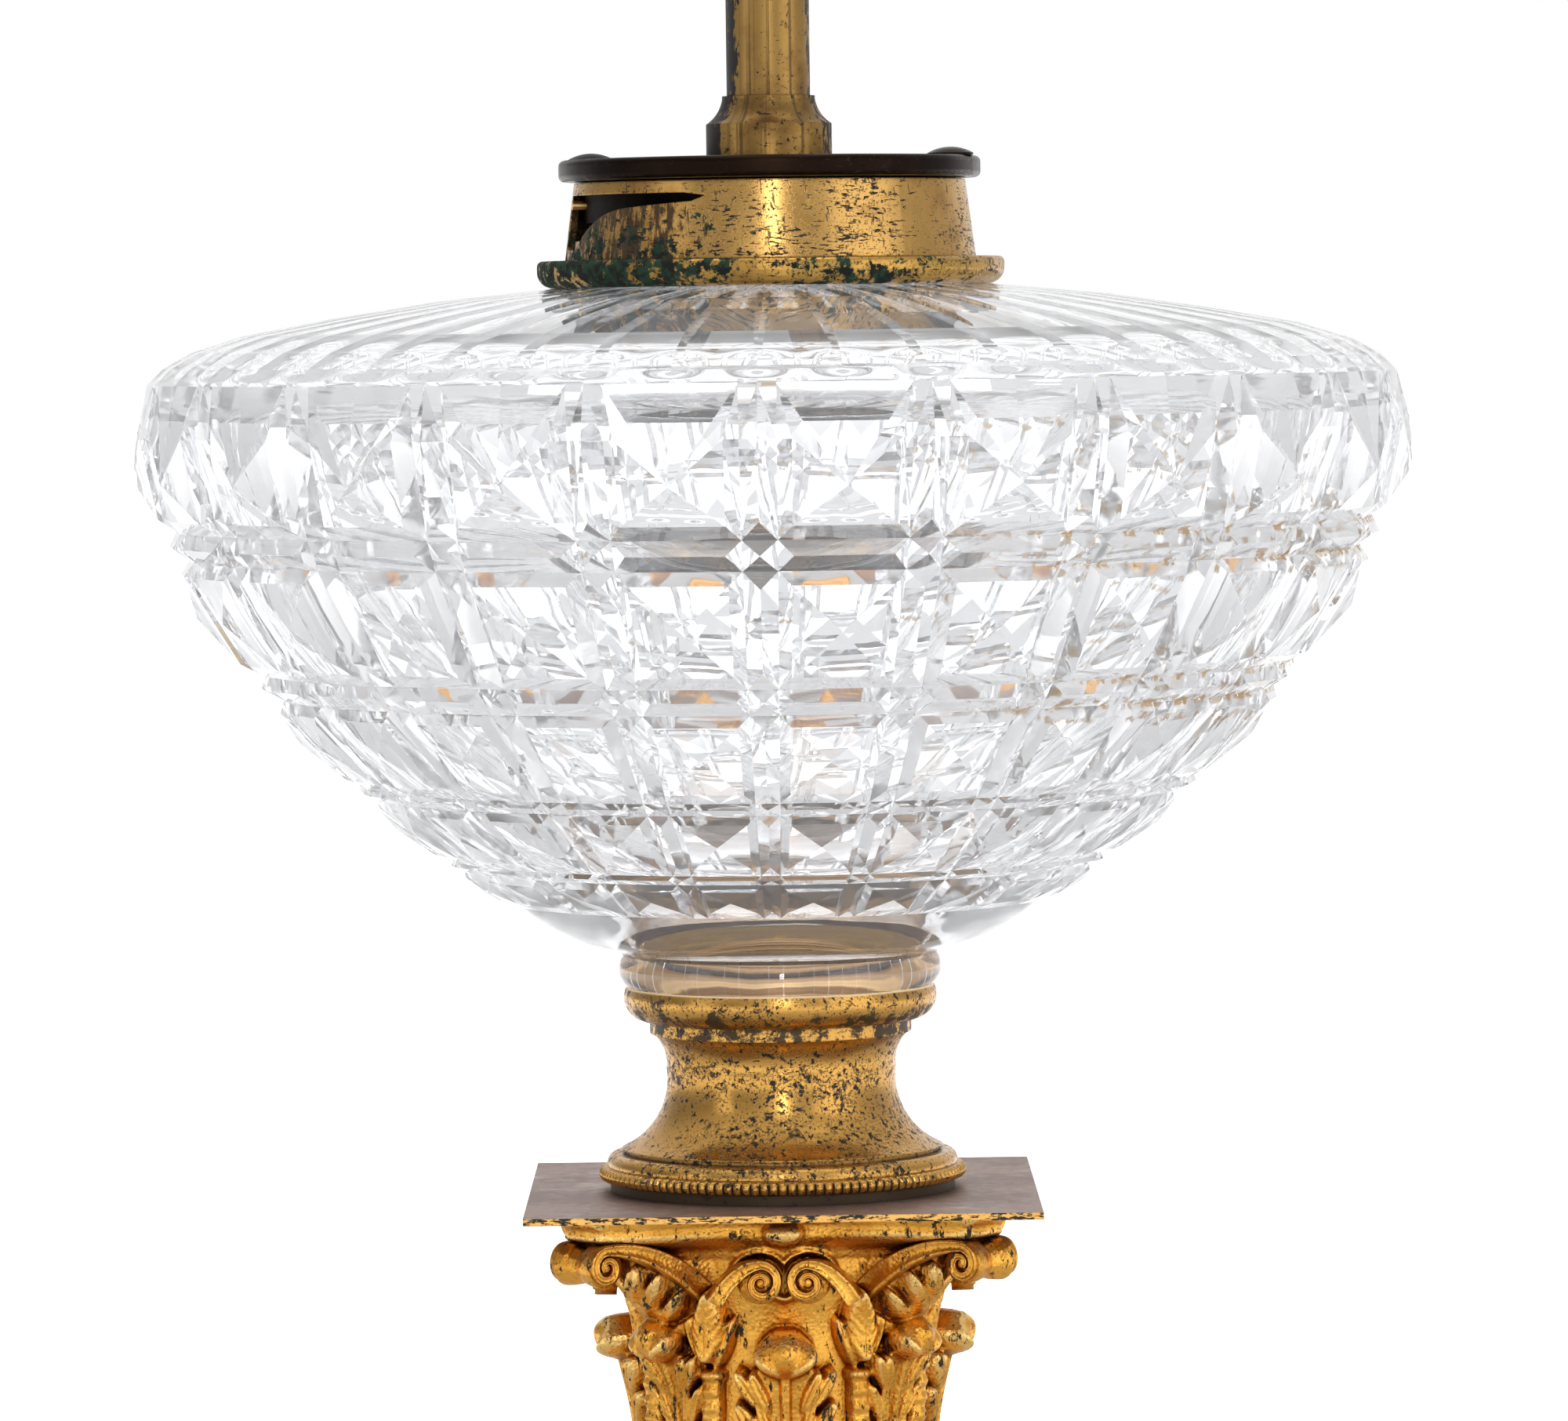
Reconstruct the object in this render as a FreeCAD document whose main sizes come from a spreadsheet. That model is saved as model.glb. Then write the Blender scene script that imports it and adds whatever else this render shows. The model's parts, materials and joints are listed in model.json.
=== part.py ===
"""Old fluid lamp with a cut crystal font on a gilt Corinthian column, converted with a stem for a lampholder.

Lengths are millimetres. The origin is on the table under the middle of the lamp, Z points up and the
front of the lamp looks towards -Y. A formula is text in the names of the sizes, which the sheet works out.
"""

import FreeCAD, Part
import math
import os
import re
import Sketcher

STEPS = 3
FLUTES = 24
LEAVES = 8
BEADS = 60
COLUMNS = 24
FLATS_PER_COLUMN = 2
FULL_TURN = 360.0

SIZES = (
    # Felt, stepped base and the iron load inside it
    ("felt_depth", 1.5),
    ("felt_margin", 3.0),
    ("step_width", 156.0),
    ("step_rise", 14.0),
    ("step_tread", 14.0),
    ("step_nosing", 3.0),
    ("base_wall", 3.0),
    ("load_lift", 8.5),
    ("load_slack", 7.0),
    # Tie rod with its nut and washer
    ("rod_radius", 4.0),
    ("rod_slack", 0.4),
    ("rod_tail", 1.0),
    ("nut_across", 13.0),
    ("nut_depth", 5.0),
    ("washer_radius", 11.0),
    ("washer_depth", 1.5),
    # Column base: plinth, torus, scotia, torus
    ("plinth_width", 66.0),
    ("plinth_rise", 12.0),
    ("plinth_nosing", 1.0),
    ("lower_torus_rise", 8.0),
    ("lower_torus_swell", 3.5),
    ("upper_torus_rise", 5.0),
    ("upper_torus_swell", 2.0),
    ("scotia_rise", 5.6),
    ("scotia_hollow", 1.6),
    ("base_fillet", 1.2),
    ("base_spread", 2.2),
    # Fluted shaft
    ("shaft_rise", 230.0),
    ("shaft_foot_radius", 23.5),
    ("shaft_top_radius", 19.7),
    ("shaft_wall", 4.2),
    ("shaft_flare", 1.8),
    ("flare_rise", 5.0),
    ("astragal_rise", 3.0),
    ("flute_margin", 8.0),
    # Corinthian capital
    ("capital_rise", 55.0),
    ("bell_lip_radius", 25.2),
    ("bell_lip_rise", 2.6),
    ("bell_wall", 6.0),
    ("abacus_depth", 4.0),
    ("abacus_fillet", 1.3),
    ("abacus_step", 1.2),
    ("horn_reach", 45.0),
    ("horn_width", 8.0),
    ("abacus_waist", 27.5),
    ("upper_leaf_rise", 36.0),
    ("upper_leaf_reach", 31.3),
    ("lower_leaf_rise", 17.5),
    ("lower_leaf_reach", 29.6),
    ("leaf_half_width", 6.6),
    ("bud_radius", 2.5),
    ("bud_rise", 11.5),
    ("bud_foot", 31.3),
    ("stalk_radius", 1.5),
    ("volute_offset", 27.0),
    ("volute_front", 34.5),
    ("volute_radius", 4.3),
    ("volute_depth", 5.0),
    ("volute_drop", 7.0),
    ("helix_offset", 3.7),
    ("helix_front", 27.0),
    ("helix_radius", 3.3),
    ("helix_depth", 4.6),
    ("helix_drop", 10.2),
    ("fleuron_radius", 4.2),
    ("fleuron_depth", 3.2),
    # Square plate on the capital
    ("plate_width", 79.2),
    ("plate_depth", 1.1),
    # Gadrooned rim
    ("rim_radius", 28.8),
    ("rim_rise", 3.9),
    ("rim_recess", 1.8),
    ("rim_foot_rise", 1.6),
    ("rim_bore", 22.0),
    ("bead_cut", 0.9),
    # Neck of the pedestal
    ("neck_rise", 28.1),
    ("neck_foot_radius", 27.5),
    ("neck_band_rise", 2.0),
    ("neck_groove", 0.7),
    ("cove_foot_radius", 25.1),
    ("cove_waist_radius", 18.0),
    ("cove_top_radius", 20.15),
    ("cove_rise", 18.0),
    ("neck_fillet_rise", 2.0),
    ("neck_torus_radius", 24.45),
    ("neck_wall", 2.4),
    ("neck_web", 4.0),
    # Ferrule and cement in the glass foot
    ("cup_radius", 18.2),
    ("cup_wall", 1.4),
    ("cup_rise", 3.2),
    ("cup_screw_radius", 15.0),
    ("cup_screw_rise", 5.0),
    ("cement_depth", 1.0),
    ("cement_rim", 1.4),
    # Cut glass font, heights from its foot
    ("glass_foot_radius", 24.1),
    ("foot_ring_swell", 1.25),
    ("foot_ring_rise", 4.9),
    ("band_foot_rise", 0.7),
    ("band_foot_spread", 1.6),
    ("cut_foot_radius", 43.3),
    ("cut_foot_height", 13.5),
    ("band_step", 1.8),
    ("belly_radius", 99.4),
    ("belly_height", 89.0),
    ("dome_rise", 20.2),
    ("shoulder_rise", 6.0),
    ("glass_wall", 7.0),
    ("glass_floor", 7.5),
    ("lip_wall", 4.3),
    # Flange and bayonet collar
    ("flange_depth", 4.2),
    ("flange_overhang", 4.4),
    ("dome_landing", 1.85),
    ("collar_rise", 12.0),
    ("collar_top_radius", 30.5),
    ("collar_flare", 1.55),
    ("collar_wall", 1.2),
    ("collar_lip", 2.0),
    ("collar_cement_rise", 3.0),
    ("neck_margin", 2.7),
    ("mouth_drop", 1.3),
    # Lock ring with its sleeve, pins and screws
    ("seat_gap", 0.3),
    ("running_gap", 0.3),
    ("ring_overhang", 2.4),
    ("ring_lip", 0.7),
    ("ring_edge", 0.9),
    ("sleeve_wall", 1.0),
    ("sleeve_rise", 6.5),
    ("pin_radius", 0.7),
    ("pin_drop", 3.7),
    ("pin_proud", 0.2),
    ("head_radius", 3.6),
    ("head_rise", 1.3),
    ("screw_radius", 1.3),
    ("screw_length", 2.4),
    # Cover plate, gasket, nipple and stem
    ("gasket_depth", 1.8),
    ("cover_depth", 2.5),
    ("nipple_radius", 5.0),
    ("nipple_wall", 1.3),
    ("nipple_reach", 3.2),
    ("nipple_tail", 9.0),
    ("stem_washer_radius", 9.5),
    ("stem_washer_depth", 1.2),
    ("locknut_across", 15.0),
    ("locknut_depth", 4.0),
    ("socket_radius", 9.8),
    ("socket_drum_rise", 6.0),
    ("socket_flare_rise", 4.0),
    ("socket_lip", 0.75),
    ("tube_radius", 6.5),
    ("tube_wall", 0.9),
    ("tube_length", 64.0),
    ("seam_width", 0.35),
    ("seam_depth", 0.25),
    # Lampholder on the tube
    ("cap_grip", 8.0),
    ("cap_neck_radius", 9.0),
    ("cap_neck_rise", 9.0),
    ("cap_rim_rise", 14.0),
    ("sheet_wall", 0.8),
    ("slip_gap", 0.1),
    ("shell_radius", 17.2),
    ("shell_tuck", 5.5),
    ("shell_rise", 38.5),
    ("shell_lip", 0.9),
    ("liner_drop", 2.0),
    ("core_rise", 14.0),
    ("core_lift", 2.5),
    ("core_bore", 3.0),
    ("bulb_thread_radius", 13.4),
    ("thread_rise", 20.0),
    ("thread_seat_radius", 11.0),
    ("thread_seat_rise", 3.6),
    ("thread_wall", 0.5),
    ("contact_width", 6.0),
    ("contact_length", 11.0),
    ("contact_depth", 0.6),
    ("contact_spring", 2.4),
    ("terminal_offset", 9.0),
    ("terminal_radius", 1.4),
    ("terminal_head_radius", 2.6),
    ("terminal_head_rise", 1.6),
    ("terminal_length", 6.0),
    ("bush_radius", 3.4),
    ("bush_wall", 0.9),
    ("bush_flange", 1.1),
    ("bush_drop", 10.5),
    ("setscrew_radius", 1.25),
    ("setscrew_proud", 1.2),
    # Switch key
    ("spindle_radius", 1.6),
    ("spindle_height", 9.0),
    ("spindle_depth", 9.0),
    ("key_stand_off", 3.0),
    ("key_length", 9.5),
    ("key_width", 13.0),
    ("key_depth", 2.4),
)

# Heights of the seats, from the table up
BASE_TOP = f"(felt_depth + {STEPS}*step_rise)"
LOAD_FOOT = "(felt_depth + load_lift)"
ATTIC_RISE = "(lower_torus_rise + scotia_rise + upper_torus_rise + 3*base_fillet)"
SHAFT_FOOT = f"({BASE_TOP} + plinth_rise + {ATTIC_RISE})"
CAPITAL_FOOT = f"({SHAFT_FOOT} + shaft_rise)"
PLATE_FOOT = f"({CAPITAL_FOOT} + capital_rise)"
RIM_FOOT = f"({PLATE_FOOT} + plate_depth)"
NECK_FOOT = f"({RIM_FOOT} + rim_rise)"
GLASS_FOOT = f"({NECK_FOOT} + neck_rise)"
DOME_HEIGHT = "(belly_height + dome_rise)"
FLANGE_FOOT = f"({GLASS_FOOT} + {DOME_HEIGHT})"
COLLAR_FOOT = f"({FLANGE_FOOT} + flange_depth)"
COLLAR_TOP = f"({COLLAR_FOOT} + collar_rise)"
GASKET_FOOT = f"({COLLAR_TOP} - mouth_drop + seat_gap)"
COVER_FOOT = f"({GASKET_FOOT} + gasket_depth)"
COVER_TOP = f"({COVER_FOOT} + cover_depth)"
RING_FOOT = f"({COLLAR_TOP} + seat_gap)"
RING_DEPTH = "(gasket_depth + cover_depth + running_gap - mouth_drop)"
TUBE_FOOT = f"({COVER_TOP} + nipple_reach)"
HOLDER_FOOT = f"({TUBE_FOOT} + tube_length - cap_grip)"

# Radii that follow from the collar, from the outside in
COLLAR_BORE = "(collar_top_radius - collar_wall)"
SLEEVE_RADIUS = f"({COLLAR_BORE} - running_gap)"
SLEEVE_BORE = f"({SLEEVE_RADIUS} - sleeve_wall)"
RING_BORE = f"({SLEEVE_BORE} - ring_lip)"
RING_RADIUS = "(collar_top_radius + ring_overhang)"
HEAD_CIRCLE = f"({RING_RADIUS} - head_radius)"
COVER_RADIUS = f"({RING_BORE} - running_gap)"
GLASS_NECK_RADIUS = f"({SLEEVE_BORE} - neck_margin)"
MOUTH_RADIUS = f"({GLASS_NECK_RADIUS} - lip_wall)"
COLLAR_FOOT_RADIUS = "(collar_top_radius + collar_flare)"
GLASS_NECK_RISE = "(flange_depth + collar_rise - mouth_drop)"
ROD_HOLE = "(rod_radius + rod_slack)"
CUP_SOCKET = "(cup_radius + cement_rim)"
COLUMN_BORE = "(shaft_top_radius - shaft_wall)"
CAP_RADIUS = "(shell_radius + slip_gap + sheet_wall)"
CAP_BELL_TOP = f"(cap_neck_rise + {CAP_RADIUS} - cap_neck_radius)"
CAP_RIM = f"({CAP_BELL_TOP} + cap_rim_rise)"
SHELL_FOOT = f"({HOLDER_FOOT} + {CAP_RIM} - shell_tuck)"
CORE_FOOT = f"({SHELL_FOOT} + core_lift)"
LINER_RADIUS = "(shell_radius - sheet_wall)"
CORE_RADIUS = f"({LINER_RADIUS} - sheet_wall)"
SPINDLE_HEIGHT = f"({CORE_FOOT} + spindle_height)"

# Turns of the lock ring's screws and pins, and of the slots, in degrees from +X seen from above
SCREW_AZIMUTH = -17.0
PIN_AZIMUTH = 190.0
SLOT_AZIMUTH = 220.0

# Shares of a flute's pitch and of its radius: how wide it is, and how far its middle lies outside the shaft
FLUTE_WIDTH_SHARE = 0.78
FLUTE_LIFT_SHARE = 0.42

# The outline of a leaf from the side (out from its root, up) and from the front (half width, up)
LEAF_SIDE_SHARES = (
    (0.00, 0.00),
    (0.46, 0.00),
    (0.50, 0.305),
    (0.53, 0.53),
    (0.573, 0.66),
    (0.67, 0.745),
    (0.80, 0.79),
    (0.93, 0.815),
    (0.99, 0.845),
    (1.00, 0.89),
    (0.96, 0.935),
    (0.87, 0.97),
    (0.73, 0.99),
    (0.56, 1.00),
    (0.00, 1.00),
)
LEAF_EDGE_SHARES = (
    (0.72, 0.00),
    (0.90, 0.07),
    (0.95, 0.18),
    (0.78, 0.30),
    (0.94, 0.38),
    (1.00, 0.48),
    (0.80, 0.59),
    (0.92, 0.65),
    (0.88, 0.74),
    (0.66, 0.80),
    (0.70, 0.87),
    (0.62, 0.94),
    (0.45, 0.98),
    (0.20, 1.00),
)
LEAF_LAYERS = (
    (1.00, 0.86, 0.95),
    (0.66, 0.94, 0.98),
    (0.16, 1.00, 1.00),
)
SCROLL_BAND_SHARE = 0.17
SCROLL_STALK_SHARE = 0.28
SCROLL_EYE_SHARE = 0.2
SCROLL_CROWN_SHARE = 0.9
SCROLL_RELIEF_SHARE = 0.2
SCROLL_TURNS = 1.25
SCROLL_POINTS_PER_TURN = 12
SCROLL_STALK_POINTS = 5
VOLUTE_TURN = -28.0
HELIX_TURN = -8.0
BELL_CURVE_SHARE = 0.45
BUD_TURN = 25.5
BUD_BELLY_SHARE = 0.45
BUD_NECK_SHARE = 0.4

# The cut glass. Rows of blocks from the foot up: the groove under each row and the one over it, as shares
# of the height between the foot of the cutting and the belly
ROW_SHARES = (
    (0.0, 0.0742),
    (0.094, 0.2238),
    (0.249, 0.4305),
    (0.4834, 0.7166),
    (0.7775,),
)
TAPER_SHARE = 0.972
APEX_SHARE = 0.46
# The half gap of an upright pair and a flank, of half a column's pitch
PAIR_SHARE = 0.216
FLANK_SHARE = 0.168
# Depth of the grooves, drop of the ridges between them and rise of the pyramids, of the local radius
GROOVE_SHARE = 0.024
RIDGE_SHARE = 0.004
RAISE_SHARE = 0.016
SWELL_POWER = 1.8
SWELL_POWER_GAIN = 0.15
# Rings of the dome from the shoulder to the landing: rise, and radius outside the landing
DOME_SHARES = (
    (0.0, 0.969),
    (0.176, 0.930),
    (0.345, 0.864),
    (0.521, 0.739),
    (0.69, 0.536),
    (0.866, 0.287),
    (1.0, 0.0),
)
BAND_CURVE_SHARES = (0.64, 0.47)
# The inside of the font: its floor, its wall and its ceiling
FLOOR_SHARE = 0.2
HOLLOW_SHARES = (0.683, 0.344)
CEILING_SHARES = ((0.957, 0.28), (0.84, 0.435), (0.26, 0.77))
PAIR_AZIMUTH = -91.3

# The outline of a bayonet slot, seen square on: across in radii of the collar's foot, up in its rise
SLOT_SHARES = (
    (0.50, 0.80),
    (0.40, 0.84),
    (-0.53, 0.84),
    (-0.53, 0.14),
    (-0.36, 0.14),
    ("via", -0.19, 0.46),
    (0.08, 0.66),
    (0.44, 0.73),
)
ROUND_SHARE = 1 - math.sqrt(0.5)

document = FreeCAD.newDocument("fluid_lamp")
sheet = document.addObject("Spreadsheet::Sheet", "Sizes")
X_AXIS = FreeCAD.Vector(1, 0, 0)
Y_AXIS = FreeCAD.Vector(0, 1, 0)
Z_AXIS = FreeCAD.Vector(0, 0, 1)
CENTRE = FreeCAD.Vector(0, 0, 0)
NODES = []


def fill_sheet():
    """Writes each size into the sheet as text, with its name beside it."""
    for row, (name, size) in enumerate(SIZES, start=1):
        sheet.set(f"A{row}", name)
        sheet.set(f"B{row}", str(size))
        sheet.setAlias(f"B{row}", name)
    document.recompute()


def linked(formula):
    """The formula with each size's name led back to the sheet."""
    return re.sub(r"\b(?!pi\b)([a-z][a-z_]*)\b(?!\()", r"Sizes.\1", formula)


def value(formula):
    """The formula's number."""
    return float(sheet.evalExpression(formula))


def node(shape_object, label):
    """Names a sub-part and keeps it for the export."""
    shape_object.Label = label
    NODES.append(shape_object)
    return shape_object


def new_body(label, lift="0", turn=0.0):
    """A sub-part in its own frame, lifted to its seat and turned about the lamp's axis."""
    body = document.addObject("PartDesign::Body", label)
    body.Placement = FreeCAD.Placement(CENTRE, FreeCAD.Rotation(Z_AXIS, turn))
    body.setExpression("Placement.Base.z", linked(lift))
    return node(body, label)


def plane(body, role):
    """One of the body's own origin planes."""
    return next(feature for feature in body.Origin.OriginFeatures if feature.Role == role)


def pinned(geometry, end, across, up):
    """The constraints that tie one point of a sketch to the two formulas of its place, each with its formula."""
    pins = []
    for kind, formula, axis in (("DistanceX", across, -2), ("DistanceY", up, -1)):
        distance = value(formula)
        if abs(distance) < Part.Precision.confusion():
            pins.append((Sketcher.Constraint("PointOnObject", geometry, end, axis), None))
        else:
            pins.append((Sketcher.Constraint(kind, -1, 1, geometry, end, distance), formula))
    return pins


def constrain(sketch, constraints):
    """Adds all constraints at once, then binds their formulas."""
    sketch.addConstraint([constraint for constraint, formula in constraints])
    for index, (constraint, formula) in enumerate(constraints):
        if formula is not None:
            sketch.setExpression(f"Constraints[{index}]", linked(formula))


def new_sketch(body, name, role, lift="0"):
    """A sketch on one of the body's origin planes, or lifted from it."""
    sketch = body.newObject("Sketcher::SketchObject", name)
    sketch.AttachmentSupport = [(plane(body, role), "")]
    sketch.MapMode = "FlatFace"
    if lift != "0":
        sketch.setExpression("AttachmentOffset.Base.z", linked(lift))
    return sketch


def outline(body, name, points, role="XZ_Plane", lift="0"):
    """A closed outline through points; a point led by "via" is passed by an arc from the point before it."""
    sketch = new_sketch(body, name, role, lift)
    corners = [point for point in points if point[0] != "via"]
    vias = {}
    count = 0
    for point in points:
        if point[0] == "via":
            vias[count - 1] = point[1:]
        else:
            count += 1
    places = [FreeCAD.Vector(value(across), value(up), 0) for across, up in corners]
    edges = []
    starts = []
    for index, place in enumerate(places):
        following = places[(index + 1) % count]
        if index in vias:
            middle = FreeCAD.Vector(value(vias[index][0]), value(vias[index][1]), 0)
            clockwise = (middle - place).cross(following - middle).z < 0
            edges.append(Part.Arc(following, middle, place) if clockwise else Part.Arc(place, middle, following))
            starts.append(2 if clockwise else 1)
        else:
            edges.append(Part.LineSegment(place, following))
            starts.append(1)
    sketch.addGeometry(edges, False)
    constraints = []
    for index, (across, up) in enumerate(corners):
        following = (index + 1) % count
        ends = (index, 3 - starts[index], following, starts[following])
        constraints.append((Sketcher.Constraint("Coincident", *ends), None))
        constraints += pinned(index, starts[index], across, up)
    for index, (across, up) in vias.items():
        middle = sketch.addGeometry(Part.Point(FreeCAD.Vector(value(across), value(up), 0)), True)
        constraints += pinned(middle, 1, across, up)
        constraints.append((Sketcher.Constraint("PointOnObject", middle, 1, index), None))
    constrain(sketch, constraints)
    return sketch


def round_outline(body, name, radius, role, across="0", up="0", lift="0"):
    """A circle in a sketch."""
    sketch = new_sketch(body, name, role, lift)
    centre = FreeCAD.Vector(value(across), value(up), 0)
    sketch.addGeometry(Part.Circle(centre, Z_AXIS, value(radius)), False)
    constrain(sketch, [*pinned(0, 3, across, up), (Sketcher.Constraint("Radius", 0, value(radius)), radius)])
    return sketch


def square_outline(body, name, width, lift="0"):
    """A square about the axis, in a level plane."""
    half = f"({width})/2"
    corners = [(f"-{half}", f"-{half}"), (half, f"-{half}"), (half, half), (f"-{half}", half)]
    return outline(body, name, corners, "XY_Plane", lift)


def turned(body, points, name="profile"):
    """Turns an outline in the upright plane about the body's axis."""
    sketch = outline(body, name, points)
    feature = body.newObject("PartDesign::Revolution", f"{name}_turned")
    feature.Profile = sketch
    feature.ReferenceAxis = (sketch, ["V_Axis"])
    feature.Angle = FULL_TURN
    document.recompute()
    return body


def padded(body, sketch, depth):
    """Pads a sketch along its normal."""
    feature = body.newObject("PartDesign::Pad", f"{sketch.Label}_pad")
    feature.Profile = sketch
    feature.setExpression("Length", linked(depth))
    document.recompute()
    return feature


def pocketed(body, sketch, depth):
    """Cuts a sketch along its normal and makes sure that something was cut."""
    before = body.Shape.Volume
    feature = body.newObject("PartDesign::Pocket", f"{sketch.Label}_cut")
    feature.Profile = sketch
    feature.Reversed = True
    feature.setExpression("Length", linked(depth))
    document.recompute()
    if not body.Shape.Volume < before:
        raise RuntimeError(f"{body.Label}: {feature.Label} cut nothing")
    return feature


def patterned(body, features, copies):
    """Repeats features around the body's axis."""
    feature = body.newObject("PartDesign::PolarPattern", f"{body.Label}_pattern")
    feature.Originals = features
    feature.Axis = (plane(body, "Z_Axis"), [""])
    feature.Angle = FULL_TURN
    feature.Occurrences = copies
    body.Tip = feature
    document.recompute()
    return feature


def rounded(body, radius, choose):
    """Fillets the edges of the body's tip that the test chooses."""
    tip = body.Tip
    edges = [f"Edge{index}" for index, edge in enumerate(tip.Shape.Edges, start=1) if choose(edge)]
    feature = body.newObject("PartDesign::Fillet", f"{body.Label}_fillet")
    feature.Base = (tip, edges)
    feature.setExpression("Radius", linked(radius))
    document.recompute()
    return feature


def hexagon(body, name, across, lift="0"):
    """The outline of a nut."""
    corners = [
        (f"({across})/sqrt(3)*cos({60*side + 15})", f"({across})/sqrt(3)*sin({60*side + 15})")
        for side in range(6)
    ]
    return outline(body, name, corners, "XY_Plane", lift)


def make_felt():
    """Felt glued under the base."""
    body = new_body("base_felt")
    padded(body, square_outline(body, "felt", "step_width - 2*felt_margin"), "felt_depth")


def rim_of_square(half_width, height):
    """A test for the four straight edges of a square at a height."""

    def choose(edge):
        middle = edge.CenterOfMass
        level = abs(edge.BoundBox.ZMax - height) + abs(edge.BoundBox.ZMin - height)
        outwards = abs(max(abs(middle.x), abs(middle.y)) - half_width)
        return level + outwards < Part.Precision.approximation()

    return choose


def make_stepped_base():
    """Hollow cast base of three square steps with rounded nosings."""
    body = new_body("stepped_base", "felt_depth")
    for step in range(STEPS):
        width = f"step_width - {2*step}*step_tread"
        padded(body, square_outline(body, f"step_{step}", width, f"{step}*step_rise"), "step_rise")
    for step in range(STEPS):
        width = f"step_width - {2*step}*step_tread - 2*base_wall"
        sketch = square_outline(body, f"hollow_{step}", width)
        pocketed(body, sketch, f"{step + 1}*step_rise - base_wall")
    rod_hole = round_outline(body, "rod_hole", ROD_HOLE, "XY_Plane")
    pocketed(body, rod_hole, f"{STEPS}*step_rise")
    for step in range(STEPS):
        half_width = value(f"step_width/2 - {step}*step_tread")
        rounded(body, "step_nosing", rim_of_square(half_width, value(f"{step + 1}*step_rise")))


def make_base_weight():
    """Iron load, a frustum under the ceiling of the top step, bored for the rod."""
    body = new_body("base_weight", LOAD_FOOT)
    rise = f"({STEPS}*step_rise - base_wall - load_lift)"
    top = f"(step_width - {2*STEPS - 2}*step_tread - 2*base_wall - 2*load_slack)"
    foot = f"({top} + 2*step_tread)"
    foot_sketch = square_outline(body, "load_foot", foot)
    top_sketch = square_outline(body, "load_top", top, rise)
    loft = body.newObject("PartDesign::AdditiveLoft", "load")
    loft.Profile = foot_sketch
    loft.Sections = [top_sketch]
    document.recompute()
    pocketed(body, round_outline(body, "rod_hole", ROD_HOLE, "XY_Plane"), rise)


def make_tie_rod():
    """Steel rod that pulls the column together, from its nut up into the neck's web."""
    rod = document.addObject("Part::Cylinder", "tie_rod")
    foot = f"({LOAD_FOOT} - washer_depth - nut_depth - rod_tail)"
    rod.setExpression("Radius", linked("rod_radius"))
    rod.setExpression("Height", linked(f"{NECK_FOOT} + cove_rise + neck_band_rise - {foot}"))
    rod.setExpression("Placement.Base.z", linked(foot))
    node(rod, "tie_rod")


def make_rod_washer():
    """Washer under the load."""
    body = new_body("rod_washer", f"{LOAD_FOOT} - washer_depth")
    hole = ROD_HOLE
    turned(body, [(hole, "0"), ("washer_radius", "0"), ("washer_radius", "washer_depth"), (hole, "washer_depth")])


def make_rod_nut():
    """Nut on the foot of the rod."""
    body = new_body("rod_nut", f"{LOAD_FOOT} - washer_depth - nut_depth")
    padded(body, hexagon(body, "nut", "nut_across"), "nut_depth")
    pocketed(body, round_outline(body, "thread", "rod_radius", "XY_Plane"), "nut_depth")


def make_column_base():
    """Square plinth with the attic base turned on it: torus, scotia between fillets, torus."""
    body = new_body("column_base", BASE_TOP)
    padded(body, square_outline(body, "plinth", "plinth_width"), "plinth_rise")
    rounded(body, "plinth_nosing", rim_of_square(value("plinth_width/2"), value("plinth_rise")))
    top = "(shaft_foot_radius + shaft_flare)"
    upper = f"({top} + base_fillet)"
    lower = f"({upper} + base_spread)"
    low = ["plinth_rise"]
    for rise in ("lower_torus_rise", "base_fillet", "scotia_rise", "base_fillet", "upper_torus_rise", "base_fillet"):
        low.append(f"({low[-1]} + {rise})")
    turned(
        body,
        [
            (COLUMN_BORE, low[0]),
            (lower, low[0]),
            ("via", f"{lower} + lower_torus_swell", f"{low[0]} + lower_torus_rise/2"),
            (lower, low[1]),
            (f"{lower} - base_fillet/2", low[1]),
            (f"{lower} - base_fillet/2", low[2]),
            ("via", f"({upper} + {lower})/2 - scotia_hollow", f"{low[2]} + scotia_rise/2"),
            (upper, low[3]),
            (upper, low[4]),
            ("via", f"{upper} + upper_torus_swell", f"{low[4]} + upper_torus_rise/2"),
            (upper, low[5]),
            (top, low[5]),
            (top, low[6]),
            (COLUMN_BORE, low[6]),
        ],
        "attic",
    )
    pocketed(body, round_outline(body, "rod_hole", COLUMN_BORE, "XY_Plane"), "plinth_rise")


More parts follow.
